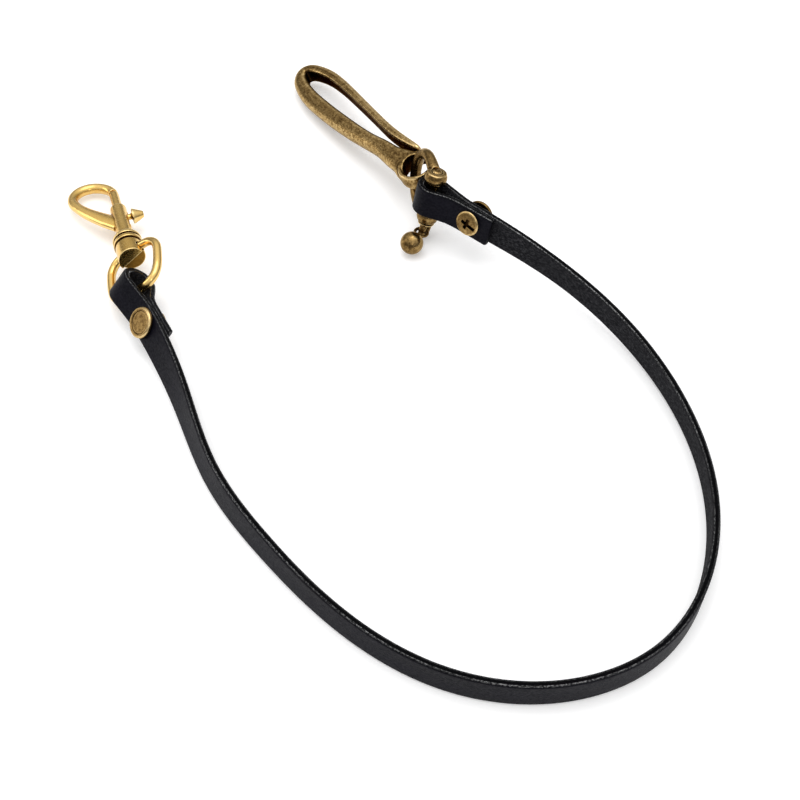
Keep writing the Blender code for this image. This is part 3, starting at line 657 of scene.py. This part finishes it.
def make_strap():
    left = end_stations(LEFT_O, LEFT_T, LEFT_W, LEFT_TH, fold(LEFT_LOOP_A, LEFT_LOOP_B, LEFT_LOOP_R, *FOLDING))
    right = end_stations(RIGHT_O, RIGHT_T, RIGHT_W, RIGHT_TH, fold(RIGHT_LOOP_A, RIGHT_LOOP_B, RIGHT_LOOP_R, *FOLDING))
    stations = list(reversed(left)) + [(c, w, th) for c, _, w, th in RUN] + right
    c = np.array([s[0][:] for s in stations])
    w = np.array([s[1][:] for s in stations])
    th = np.array([s[2][:] for s in stations])
    run = np.concatenate([[0.0], np.cumsum(np.linalg.norm(np.diff(c, axis=0), axis=1))])
    sec = strap_section()
    rings, co, flesh, edge = [], [], [], []
    # a cut end is eased: the last rings draw in towards the middle
    ease = np.zeros(len(run))
    for i, s in enumerate(run):
        to_end = min(s, run[-1] - s)
        ease[i] = 0.26 * max(0.0, 1.0 - to_end / 0.42) ** 2
    for i, s in enumerate(run):
        ring = []
        free = min(1.0, min(s, run[-1] - s) / 6.0)
        for k, (a, b, ed) in enumerate(sec):
            girth = k * 0.6
            dx = dy = 0.0
            if ed > 0:
                # burnished edge: small welts and flats left by the slicker
                q = Vector((s * 0.62, girth * 0.5 + 31.0, 0.0))
                dx = ed * (0.085 * noise.noise(q) + 0.055 * noise.noise(q * 2.3 + Vector((7.0, 3.0, 1.0))))
                dy = ed * 0.03 * noise.noise(q * 1.7 + Vector((3.0, 9.0, 4.0)))
            else:
                q = Vector((s * 0.11, a * 0.22, 5.0 if b > 0 else 9.0))
                dy = 0.035 * noise.noise(q) * free
            sa, sb = math.copysign(1, a), math.copysign(1, b)
            x = a + sa * dx
            y = b + sb * dy
            x -= sa * min(abs(x), ease[i])
            y -= sb * min(abs(y), ease[i])
            ring.append(c[i] + w[i] * x + th[i] * y)
            co.append((s, a if ed < 1 else a, k * 0.55 + (40.0 if b > 0 else 0.0)))
            flesh.append(1.0 if (b > 0 and ed <= 0.5) else 0.0)
            edge.append(ed)
        rings.append(ring)
    verts, faces = tube(np.array(rings))
    me = bpy.data.meshes.new("strap")
    me.from_pydata(verts.tolist(), [], faces)
    attribute(me, "strap", co, "FLOAT_VECTOR")
    attribute(me, "flesh", flesh)
    attribute(me, "edge", edge)
    bm = bmesh.new()
    bm.from_mesh(me)
    bmesh.ops.recalc_face_normals(bm, faces=bm.faces)
    bm.to_mesh(me)
    bm.free()
    ob = bpy.data.objects.new("strap", me)
    scene.collection.objects.link(ob)
    cut(ob, *[solid("hole", rod(HOLE_R, OUTER - 3, INNER + 3, 48), m) for m in (LEFT_SCREW, RIGHT_SCREW)])
    return piece(ob, "leather_strap", "strap", LEATHER, 60)


make_strap()

# ----------------------------------------------------------- posts and screws
for side, m in (("left", LEFT_SCREW), ("right", RIGHT_SCREW)):
    lo = OUTER - CAP_GAP[side]
    top = INNER - 0.3
    face = lo - CAP_T
    profile = [(0, face + 0.20), (3.45, face + 0.26), (3.62, face + 0.34), (3.80, face + 0.06), (4.15, face), (4.55, face + 0.02),
               (CAP_R, face + 0.42), (CAP_R, lo - 0.22), (CAP_R - 0.22, lo), (POST_R, lo), (POST_R, top), (POST_BORE, top),
               (POST_BORE, -0.5), (0, -0.5)]
    post = solid("post", lathe(dense(fillet(profile, [0, 0.5, 0.12, 0.12, 0.3, 0.3, 0.3, 0.2, 0.2, 0.1, 0.1, 0.1, 0.1, 0]), 0.16), 120), m)
    relief(post, 10, 0.030)
    v, _ = arrays(post.data)
    v = (v - m[:3, 3]) @ m[:3, :3]
    # painted shade: from a little above its face, the cap's rim, its underside against the leather and the post are
    # darkened
    attribute(post.data, "patina_and_painted_shade", np.clip((v[:, 2] - face - (0.45 if side == "left" else 0.22)) / 0.25, 0.0, 1.3))
    piece(post, side + "_post", "strap", TURNED_BRASS, 50)

    hi = INNER + FACE_GAP
    profile = [(0, -0.2), (SCREW_R, -0.2), (SCREW_R, hi), (SCREW_HEAD_R - 0.2, hi), (SCREW_HEAD_R, hi + 0.2),
               (SCREW_HEAD_R, hi + 0.5), (SCREW_HEAD_R - 0.45, hi + 0.86), (2.6, hi + SCREW_HEAD_T - 0.05), (0, hi + SCREW_HEAD_T)]
    screw = solid("screw", lathe(dense(fillet(profile, [0, 0.15, 0.05, 0.2, 0.2, 0.3, 0.4, 1.0, 0]), 0.2), 96), m)
    cast(screw, 0.12, 3)
    relief(screw, 12, 0.030)
    t = m @ turn(math.radians(78 if side == "right" else 20), "Z")
    arms = ((-3.4, 2.0, 0.55), (-0.55, 0.55, 1.9))
    recess = hi + SCREW_HEAD_T - 0.80
    cut(screw, *[solid("slot", box((x0, -wx, recess), (x1, wx, hi + SCREW_HEAD_T + 1)), t) for x0, x1, wx in arms])
    v, _ = arrays(screw.data)
    v = (v - t[:3, 3]) @ t[:3, :3]
    inside = np.zeros(len(v), bool)
    for x0, x1, wx in arms:
        inside |= (v[:, 0] > x0 - 0.02) & (v[:, 0] < x1 + 0.02) & (np.abs(v[:, 1]) < wx + 0.02) & (v[:, 2] > recess - 0.02)
    # the cross slot of the head is darkened in colour
    attribute(screw.data, "patina_and_painted_shade", np.where(inside, 1.6, 0.0))
    piece(screw, side + "_screw", "strap", TURNED_BRASS, 50)


# --------------------------------------------------------------------- D-ring
def d_ring_path(depth, n_corner, n_far):
    pts = [(p, 0.0) for p in np.linspace(-RING_BAR, RING_BAR, 24)[1:-1]]
    for t in np.linspace(-math.pi / 2, 0, n_corner):
        pts.append((RING_BAR + RING_CORNER * math.cos(t), RING_CORNER + RING_CORNER * math.sin(t)))
    for t in np.linspace(0, math.pi, n_far)[1:-1]:
        c, s = math.cos(t), math.sin(t)
        pts.append((RING_HALF_W * math.copysign(abs(c) ** 0.56, c), RING_CORNER + (depth - RING_CORNER) * s ** 0.56))
    for t in np.linspace(math.pi, 1.5 * math.pi, n_corner):
        pts.append((-RING_BAR + RING_CORNER * math.cos(t), RING_CORNER + RING_CORNER * math.sin(t)))
    return pts


def even_loop(path, count, rounds=0):
    """Closed path resampled at even steps and smoothed."""
    p = np.array(path, float)
    p = np.concatenate([p, p[:1]])
    d = np.concatenate([[0.0], np.cumsum(np.linalg.norm(np.diff(p, axis=0), axis=1))])
    s = np.linspace(0, d[-1], count + 1)[:-1]
    q = np.stack([np.interp(s, d, p[:, 0]), np.interp(s, d, p[:, 1])], 1)
    for _ in range(rounds):
        q = q + 0.5 * (0.5 * (np.roll(q, 1, 0) + np.roll(q, -1, 0)) - q)
    return q


def planar_tube(path, radius, sides, closed):
    """Round tube along a path in the local xy plane; radius is a number or one for each point."""
    p = np.asarray(path, float)
    n = len(p)
    if closed:
        t = np.roll(p, -1, 0) - np.roll(p, 1, 0)
    else:
        t = np.gradient(p, axis=0)
    t /= np.linalg.norm(t, axis=1)[:, None]
    r = np.broadcast_to(np.asarray(radius, float), (n,))
    a = np.arange(sides) * TAU / sides
    rings = np.zeros((n, sides, 3))
    rings[:, :, 0] = p[:, None, 0] - t[:, None, 1] * r[:, None] * np.cos(a)
    rings[:, :, 1] = p[:, None, 1] + t[:, None, 0] * r[:, None] * np.cos(a)
    rings[:, :, 2] = r[:, None] * np.sin(a)
    return tube(rings, closed)


SNAP_AXIS = unit((-0.312, 0.937, -0.16))
SNAP_N = unit(Vector((0, 0, 1)) - SNAP_AXIS * SNAP_AXIS.z)
SNAP_V = SNAP_AXIS.cross(SNAP_N)
SNAP_O = Vector((-78.38 - MIDDLE[0], 31.73 - MIDDLE[1], 8.92))
BAR_AT = SNAP_O + SNAP_AXIS * EYE_BAR_U
ring_y = unit(LEFT_LOOP - BAR_AT)
BAR_DIR = Vector((0.81, 0.10, 0.57))
RING_X = unit(BAR_DIR - ring_y * ring_y.dot(BAR_DIR))
RING_O = BAR_AT + RING_X * BOSS_OFF
RING_Y = unit(LEFT_LOOP - RING_O)
RING_Y = unit(RING_Y - RING_X * RING_X.dot(RING_Y))
RING_M = place(RING_O, RING_X, RING_Y, RING_X.cross(RING_Y))
RING_DEPTH = (LEFT_LOOP - RING_O).length + RING_PLAY

ring = solid("ring", planar_tube(even_loop(d_ring_path(RING_DEPTH, 40, 160), 320, 30), RING_WIRE, 40, True), RING_M)
relief(ring, 6, 0.10)
piece(ring, "d_ring", "ring", RING_BRASS)

# ---------------------------------------------------------------- swivel boss
EYE_M = frame_from(BAR_AT, SNAP_AXIS, RING_X)
profile = [(r, u - EYE_BAR_U) for r, u in (
    (0, -EYE_LEN), (EYE_R, -EYE_LEN), (EYE_R, -3.85), (3.9, -3.65), (3.9, -3.15), (4.85, -2.92), (4.85, -1.32),
    (0.85, -1.32), (0.85, 2.55), (1.4, 2.6), (1.4, 3.3), (0, 3.3))]
boss = solid("boss", lathe(dense(fillet(profile, [0, 0.3, 0.2, 0.1, 0.1, 0.4, 0.4, 0.1, 0.1, 0.15, 0.15, 0], 5), 0.3), 96), EYE_M)
end = -EYE_LEN - EYE_BAR_U
cut(boss, solid("bar_hole", rod(BAR_HOLE - 0.4, -8, 8), frame_from(BAR_AT, RING_X, SNAP_AXIS)),
    solid("end_step", box((-6, 0.0, end - 1), (6, 6, end + 1.8)), EYE_M))
cast(boss, 0.09, 3)
relief(boss, 14, 0.05)
# painted shade: the groove between the eye and the collar gets a low relief, so it comes out dark
paint_shade(boss, EYE_M, lambda x, y, z: (np.hypot(x, y) < 4.76) & (z + EYE_BAR_U > -3.95) & (z + EYE_BAR_U < -2.86))
# painted shade: the recessed half of the end face gets a low relief, so it comes out dark
paint_shade(boss, EYE_M, lambda x, y, z: (y > -0.15) & (z < end + 2.0) & (z > end + 0.15) & (np.hypot(x, y) < 4.3), 0.19)
piece(boss, "swivel_eye", "swivel", SNAP_BRASS)

# ------------------------------------------------------------------ bolt snap
SNAP_M = place(SNAP_O, SNAP_V, SNAP_AXIS.cross(SNAP_V), SNAP_AXIS)
HOOK = [(11.0, -1.0), (14.6, -4.1), (18.6, -7.5), (23.0, -10.8), (27.6, -13.3), (31.8, -14.2), (35.3, -12.9),
        (37.5, -9.8), (37.6, -6.2), (36.0, -3.0), (34.0, -1.15), (32.5, -0.4), (31.45, -0.12)]


def hook_rings(count, sides):
    rings = []
    a = np.arange(sides) * TAU / sides
    for i, (pos, der) in enumerate(spline(HOOK, count)):
        u, v = pos
        t = unit((der[1], 0, der[0]))
        side = np.array(Vector((0, 1, 0)).cross(t)[:])
        f = i / (count - 1)
        wide = 3.1 if f < 0.12 else 3.1 - (3.1 - HOOK_WIRE) * min(1.0, (f - 0.12) / 0.3)
        if f > 0.88:
            wide = HOOK_WIRE - 0.15 * (f - 0.88) / 0.12
        rings.append(np.array([v, 0, u]) + np.outer(wide * np.cos(a), side) + np.outer(HOOK_WIRE * np.sin(a), (0, 1, 0)))
    return np.array(rings)


profile = [(0, -0.4), (4.85, -0.4), (4.85, 1.0), (3.6, 1.2), (3.0, 2.3), (BARREL_R, 4.2), (BARREL_R, BARREL_TOP), (0, BARREL_TOP)]
barrel = solid("barrel", lathe(dense(fillet(profile, [0, 0.42, 0.42, 0.3, 0.9, 1.2, 0.35, 0], 5), 0.4), 72), SNAP_M)
body = merge("snap", barrel, solid("arm", tube(hook_rings(150, 36)), SNAP_M))
cast(body, 0.17, 6)
cut(body, solid("bore", rod(BORE_R, 2.2, BARREL_TOP + 0.6), SNAP_M), solid("stem", rod(1.2, -2, 3), SNAP_M),
    solid("slot", box((0.8, -1.35, KNOB_U - BOLT_TRAVEL - 1.4), (4, 1.35, KNOB_U + 1.4)), SNAP_M))
relief(body, 16, 0.09)
# painted shade: the underside of the flange, facing the swivel boss across a narrow gap, gets a low relief, so it comes
# out dark
paint_shade(body, SNAP_M, lambda x, y, z: (z < -0.05) & (np.hypot(x, y) < 4.72))
piece(body, "snap_body", "snap", SNAP_BRASS, 50)

profile = [(0, BOLT_BOTTOM), (BOLT_R, BOLT_BOTTOM), (BOLT_R, BOLT_TIP), (0, BOLT_TIP)]
bolt = solid("bolt", lathe(dense(fillet(profile, [0, 0.2, 0.5, 0], 6), 0.35), 64), SNAP_M)
KNOB_M = SNAP_M @ shift(KNOB_U) @ turn(math.pi / 2, "Y")
cut(bolt, solid("knob_hole", rod(1.2, -0.4, 3, 40), KNOB_M))
relief(bolt, 6, 0.08)
piece(bolt, "snap_bolt", "bolt", SNAP_BRASS, 50)

profile = [(0, -0.1), (1.0, -0.1), (1.0, 3.5), (1.35, 3.85), (2.45, 3.95), (2.65, 4.3), (2.5, 4.75), (1.2, 7.6), (0.9, 7.9), (0, 7.9)]
knob = solid("knob", lathe(dense(fillet(profile, [0, 0.1, 0.3, 0.3, 0.2, 0.15, 0.2, 0.2, 0.2, 0], 4), 0.2), 72), KNOB_M)
relief(knob, 10, 0.05)
piece(knob, "thumb_knob", "bolt", SNAP_BRASS)


def coil_rings(radius, wire, z0, z1, turns, per_turn, sides):
    n = int(turns * per_turn)
    b = np.arange(sides) * TAU / sides
    rings = []
    for i in range(n + 1):
        f = i / n
        a = TAU * turns * f
        out = Vector((math.cos(a), math.sin(a), 0))
        t = unit((-math.sin(a) * radius * TAU * turns, math.cos(a) * radius * TAU * turns, z1 - z0))
        side = t.cross(out)
        rings.append(np.array([radius * math.cos(a), radius * math.sin(a), z0 + (z1 - z0) * f])
                     + np.outer(wire * np.cos(b), out[:]) + np.outer(wire * np.sin(b), side[:]))
    return np.array(rings)


spring = solid("spring", tube(coil_rings(1.2, 0.2, 3.85, BOLT_BOTTOM - 0.35, 7, 40, 12)), SNAP_M)
piece(spring, "bolt_spring", "snap", STEEL)
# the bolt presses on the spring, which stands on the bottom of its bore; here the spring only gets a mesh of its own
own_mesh(spring)

# -------------------------------------------------------------------- shackle
BOW_DIR = unit((-0.27, 0.95, -0.10))
PIN_Z = unit((0.17, 0.17, 0.97))
PIN_AT = RIGHT_LOOP + Vector((0.3, 0.5, 0.0))
SHACKLE_M = frame_from(PIN_AT, PIN_Z, BOW_DIR)
BOW_M = SHACKLE_M @ turn(math.pi / 2, "X")


def bow_path(n_arc, n_leg):
    far = math.hypot(BOW_C, EAR_Z)
    a = math.pi - math.atan2(EAR_Z, BOW_C) - math.acos(BOW_R / far)
    arc = [(BOW_C + BOW_R * math.cos(t), BOW_R * math.sin(t)) for t in np.linspace(-a, a, n_arc)]
    leg = lambda p, q: [(p[0] + (q[0] - p[0]) * f, p[1] + (q[1] - p[1]) * f) for f in np.linspace(0, 1, n_leg)]
    return leg((0.0, -EAR_Z), arc[0])[:-1] + arc + leg(arc[-1], (0.0, EAR_Z))[1:]


path = bow_path(90, 14)
thick = [BOW_WIRE + 0.20 * max(0.0, 1 - abs(min(i, len(path) - 1 - i) - 8) / 8.0) for i in range(len(path))]
ears = []
for s in (1, -1):
    z = [EAR_Z - EAR_T / 2, EAR_Z - EAR_T / 2, EAR_Z, EAR_Z + EAR_T / 2 - 0.15, EAR_Z + EAR_T / 2, EAR_Z + EAR_T / 2]
    r = [0, EAR_R - 0.20, EAR_R + 0.22, EAR_R - 0.40, 2.7, 0]
    ears.append(solid("ear", lathe(dense(fillet([(a, s * b) for a, b in zip(r, z)], [0, 0.6, 1.1, 0.5, 0.3, 0], 6), 0.3), 72), SHACKLE_M))
bow = merge("bow", solid("bow", planar_tube(path, thick, 32, False), BOW_M), *ears)
cast(bow, 0.15, 9)
cut(bow, solid("pin_hole", rod(PIN_R + 0.3, -20, 20), SHACKLE_M))
relief(bow, 18, 0.10)
v, _ = arrays(bow.data)
v = (v - SHACKLE_M[:3, 3]) @ SHACKLE_M[:3, :3]
# painted shade: round the pin hole, where the pin stands in a narrow gap, the ear is darkened
attribute(bow.data, "patina_and_painted_shade", np.where(np.hypot(v[:, 0], v[:, 1]) < PIN_R + 0.7, 0.9, 0.0))
piece(bow, "shackle_bow", "shackle", SHACKLE_BRASS, 50)

low, top = -(EAR_Z + EAR_T / 2), EAR_Z + EAR_T / 2
profile = [(0, PIN_EYE_Z + 1.9), (1.55, PIN_EYE_Z + 1.9), (1.55, low - 1.2), (2.8, low - 1.15), (2.8, low - 0.65), (PIN_R, low - 0.65),
           (PIN_R, top + 0.05), (PIN_R - 0.4, top + 0.42), (0, top + 0.62)]
stem = solid("stem", lathe(dense(fillet(profile, [0, 0.1, 0.3, 0.2, 0.15, 0.05, 0.2, 0.3, 0], 4), 0.25), 64), SHACKLE_M)
PIN_EYE_C = PIN_AT + PIN_Z * PIN_EYE_Z
BALL_AT = Vector((16.9 - MIDDLE[0], 37.7 - MIDDLE[1], BALL_R + 0.4))
LINK_X = unit(BALL_AT - PIN_EYE_C)
LINK_Y = unit(PIN_Z.cross(LINK_X))
mid, half = (PIN_EYE_R + PIN_EYE_HOLE) / 2, (PIN_EYE_R - PIN_EYE_HOLE) / 2
washer = [(mid + half * math.cos(t), 1.3 * math.sin(t)) for t in np.linspace(0, TAU, 33)[:-1]]
pin = merge("pin", stem, solid("eye", lathe(washer, 80, True), frame_from(PIN_EYE_C, LINK_Y, PIN_Z)))
cast(pin, 0.11, 4)
relief(pin, 16, 0.06)
v, _ = arrays(pin.data)
along = (v - SHACKLE_M[:3, 3]) @ SHACKLE_M[:3, 2]
# painted shade: the part below the lower ear, under the strap, is darkened for shade and the dark reflection of the
# leather; the rest only a little
attribute(pin.data, "patina_and_painted_shade", np.where(along < low, 0.5, 0.1))
piece(pin, "shackle_pin", "shackle", SHACKLE_BRASS)

# ------------------------------------------------------------------ fish hook
FISH_EYE = Vector((18.14 - MIDDLE[0], 61.97 - MIDDLE[1], 14.09))
FISH_FAR = Vector((-25.5 - MIDDLE[0], 126.3 - MIDDLE[1], 4.2))
FISH_ROLL = math.radians(17.0)
FISH_X = unit(FISH_FAR - FISH_EYE)
fish_side = unit(Vector((0, 0, 1)).cross(-FISH_X))
fish_up = (-FISH_X).cross(fish_side)
FISH_Y = fish_side * math.cos(FISH_ROLL) + fish_up * math.sin(FISH_ROLL)
FISH_Z = FISH_X.cross(FISH_Y)
FISH_M = place(FISH_EYE, FISH_X, FISH_Y, FISH_Z)
FISH = [(5.4, 5.75, 2.0), (9.5, 5.45, 2.6), (14.5, 5.05, 3.1), (21.5, 4.85, 3.3), (31.5, 5.5, 3.1), (42.5, 6.45, 3.2),
        (51.5, 7.2, 3.4), (61.5, 7.75, 3.8), (68.5, 7.4, 4.1), (74.5, 6.0, 4.3), (78.0, 3.9, 4.6), (78.7, 1.7, 4.8),
        (77.1, -0.9, 5.2), (72.5, -3.0, 5.6), (65.5, -4.3, 6.0), (57.5, -4.7, 6.1), (49.5, -4.7, 6.1), (41.5, -4.45, 6.0),
        (31.5, -3.8, 5.6), (23.5, -2.9, 5.5), (17.5, -2.2, 6.2), (11.5, -2.0, 7.4), (6.2, -1.2, 9.6),
        (2.5, -0.95, 11.6), (0.0, -0.6, 12.2), (-2.4, -0.3, 11.7)]


def plate_section(width, height, n_corner, outer, inner):
    """Section of the plate. Its outer and inner corners are rounded by shares of the width and the height."""
    pts = []
    for cx, cy, a0 in ((1, 1, 0), (-1, 1, 90), (-1, -1, 180), (1, -1, 270)):
        rx, ry = (outer if cx > 0 else inner)
        rx, ry = rx * width, ry * height
        for k in range(n_corner):
            t = math.radians(a0 + 90 * k / (n_corner - 1))
            pts.append((cx * (width / 2 - rx) + rx * math.cos(t), cy * (height / 2 - ry) + ry * math.sin(t)))
    return pts


def fish_rings(count, n_corner):
    rings = []
    path = spline(FISH, count)
    run = 0.0
    for i, (pos, der) in enumerate(path):
        x, y, wd = pos
        if i:
            run += math.hypot(x - path[i - 1][0][0], y - path[i - 1][0][1])
        t = unit((der[0], der[1], 0))
        side = Vector((0, 0, 1)).cross(t)
        f = i / (count - 1)
        hgt = FISH_H
        if f > 0.5 and x < 4.0:                                    # runs out into the rim of the eye
            hgt -= 1.4 * min(1.0, (4.0 - x) / 5.5)
        if run < 2.6:                                              # rounded tip of the slim arm
            k = math.sqrt(max(0.0, 1 - (1 - run / 2.6) ** 2))
            wd, hgt = wd * (0.35 + 0.65 * k), hgt * (0.50 + 0.50 * k)
        # both arms slope off outwards from a crest along the slot, whose walls are flat
        k = min(1.0, max(0.0, (f - 0.42) / 0.12))
        outer = (0.52 + 0.10 * k, 0.40 + 0.06 * k)
        inner = (0.28 + 0.02 * k, 0.15 + 0.07 * k)
        at = Vector((x, y, 0))
        rings.append([(at + side * a + Vector((0, 0, b)))[:] for a, b in plate_section(wd, hgt, n_corner, outer, inner)])
    return rings


EYE_IN = FISH_HOLE - 0.15
profile = [(EYE_IN, -1.7), (EYE_IN + 0.8, -FISH_H / 2 + 0.4), (FISH_RIM - 0.3, -FISH_H / 2 + 0.4), (FISH_RIM, -1.4),
           (FISH_RIM, 1.4), (FISH_RIM - 0.3, FISH_H / 2 - 0.4), (EYE_IN + 0.8, FISH_H / 2 - 0.4), (EYE_IN, 1.7)]
plate = cut(solid("plate", tube(fish_rings(260, 8)), FISH_M), solid("hole", rod(EYE_IN + 0.05, -8, 8, 96), FISH_M))
fish = merge("fish", plate,
             solid("rim", lathe(fillet(profile, 0.9, 5, True), 96, True), FISH_M))
cast(fish, 0.23, 6)
relief(fish, 18, 0.10)
v, _ = arrays(fish.data)
local = (v - FISH_M[:3, 3]) @ FISH_M[:3, :3]
nrm = np.empty(len(v) * 3, np.float32)
fish.data.vertices.foreach_get("normal", nrm)
nrm = nrm.reshape(-1, 3) @ FISH_M[:3, :3]
# the walls of the slot and the eye are darkened: partly patina, because nothing rubs them, and partly painted shade and
# dark reflection
slot_y = np.interp(local[:, 0], [0, 14, 22, 32, 50, 66, 80], [4.2, 2.9, 1.6, 1.3, 1.9, 2.1, 2.0])
inward = np.where(local[:, 1] > slot_y, -nrm[:, 1], nrm[:, 1])
inward = np.where(local[:, 0] > 75.5, -nrm[:, 0], inward)
away = np.hypot(local[:, 0], local[:, 1])
hole = away < EYE_IN + 0.5
worn = np.empty(len(v), np.float32)
fish.data.attributes["relief"].data.foreach_get("value", worn)
attribute(fish.data, "relief", np.where(away < EYE_IN + 1.6, 0.5 + 0.35 * (worn - 0.5), worn))
slot_patina_and_painted_shade = np.where(local[:, 1] > slot_y, np.clip((inward + 0.17) / 0.45, 0, 1), np.clip((inward - 0.30) / 0.35, 0, 1))
slot_patina_and_painted_shade = np.where(hole, np.clip(1.2 - np.abs(nrm[:, 2]) * 1.6, 0, 1), slot_patina_and_painted_shade)
attribute(fish.data, "patina_and_painted_shade", slot_patina_and_painted_shade)
piece(fish, "fish_hook", "hook", CAST_BRASS)

# ------------------------------------------------------ jump ring and ball drop
LINK_M = place(PIN_EYE_C, LINK_X, LINK_Y, LINK_X.cross(LINK_Y))
loop = [(LINK_AT + LINK_R + LINK_R * math.cos(t), LINK_R * math.sin(t)) for t in np.linspace(0, TAU, 97)[:-1]]
link = solid("link", planar_tube(loop, LINK_WIRE + 0.12, 20, True), LINK_M)
relief(link, 4, 0.08)
# painted shade: the whole jump ring, hanging under the strap, is darkened like the pin below its lower ear
attribute(link.data, "patina_and_painted_shade", np.full(len(link.data.vertices), 0.5))
piece(link, "jump_ring", "link", SHACKLE_BRASS)

BALL_M = frame_from(PIN_EYE_C + LINK_X * (LINK_AT + 2 * LINK_R), -LINK_X, LINK_Y)
globe = [(0.0, -BALL_R)]
for k in range(1, 48):
    t = -math.pi / 2 + math.pi * k / 48
    if BALL_R * math.sin(t) > BALL_R - 0.42:
        break
    globe.append((BALL_R * math.cos(t), BALL_R * math.sin(t)))
globe += [(1.35, BALL_R - 0.32), (1.15, BALL_R - 0.02), (0.9, BALL_R + 0.12), (0, BALL_R + 0.12)]
ball = solid("ball", lathe([(r, z - SHANK_AT) for r, z in globe], 96), BALL_M)
shank = [(1.1 + 0.3 * math.cos(t), 0.45 * math.sin(t)) for t in np.linspace(0, TAU, 25)[:-1]]
mod = ball.modifiers.new("join", "BOOLEAN")
mod.operation, mod.solver = "UNION", "EXACT"
mod.object = ring2 = solid("shank", lathe(shank, 64, True), BALL_M @ turn(math.pi / 2, "Y"))
settle(ball)
drop(ring2)
relief(ball, 10, 0.06)
attribute(ball.data, "patina_and_painted_shade", np.zeros(len(ball.data.vertices)))
piece(ball, "ball_drop", "ball", BALL_BRASS, 55)

# --------------------------------------------------- floor, light and camera
me = bpy.data.meshes.new("floor")
me.from_pydata([(-2, -2, -0.0002), (2, -2, -0.0002), (2, 2, -0.0002), (-2, 2, -0.0002)], [], [(0, 1, 2, 3)])
floor = bpy.data.objects.new("floor", me)
scene.collection.objects.link(floor)
k = Nodes("floor_white")
k.to("Base Color", k.ramp(k.noise(k.coords(), 3.0, 2), [(0.3, (0.90, 0.90, 0.905)), (0.7, (0.92, 0.92, 0.92))]))
k.to("Roughness", 0.8)
k.to("Specular IOR Level", 0.1)
k.to("Emission Color", (1.0, 1.0, 1.0, 1.0))
k.to("Emission Strength", 0.20)
me.materials.append(k.mat)


def area(name, at, aim, size, size_y, power, colour=(1, 1, 1)):
    lamp = bpy.data.lights.new(name, "AREA")
    lamp.shape, lamp.size, lamp.size_y = "RECTANGLE", size, size_y
    lamp.energy, lamp.color = power, colour
    ob = bpy.data.objects.new(name, lamp)
    scene.collection.objects.link(ob)
    ob.location = at
    ob.rotation_euler = (Vector(aim) - Vector(at)).to_track_quat("-Z", "Y").to_euler()
    return ob


area("top_softbox", (0.0, 0.10, 1.2), (0, 0, 0), 0.9, 0.9, 5.0)
area("left_strip", (-1.1, 0.1, 0.40), (0, 0, 0.02), 0.3, 0.9, 2.2)
area("front_card", (0.15, -1.0, 0.75), (0, 0, 0), 0.3, 0.2, 0.6)

world = bpy.data.worlds.new("studio")
scene.world = world
world.use_nodes = True
t = world.node_tree
bg = t.nodes["Background"]
tc = t.nodes.new("ShaderNodeTexCoord")
sep = t.nodes.new("ShaderNodeSeparateXYZ")
t.links.new(tc.outputs["Generated"], sep.inputs[0])
cr = t.nodes.new("ShaderNodeValToRGB")
t.links.new(sep.outputs["Z"], cr.inputs[0])
el = cr.color_ramp.elements
el[0].position, el[0].color = 0.0, (0.16, 0.157, 0.154, 1)
el[1].position, el[1].color = 0.80, (1.24, 1.24, 1.24, 1)
e = el.new(0.30)
e.color = (0.47, 0.47, 0.47, 1)
t.links.new(cr.outputs[0], bg.inputs[0])
bg.inputs[1].default_value = 0.95

scene.view_settings.view_transform = "Standard"
scene.view_settings.look = "None"
scene.view_settings.exposure = 0.0

cam = bpy.data.cameras.new("camera")
cam.sensor_width = 36.0
cam.lens = 36.0 * 1236.8 / 800.0
cam.clip_start = 0.01
camera = bpy.data.objects.new("camera", cam)
scene.collection.objects.link(camera)
camera.location = (0.012 - MIDDLE[0] / 1000, -0.266 - MIDDLE[1] / 1000, 0.2961)
camera.rotation_euler = (math.pi / 2 - math.radians(51.23), 0, 0)
scene.camera = camera
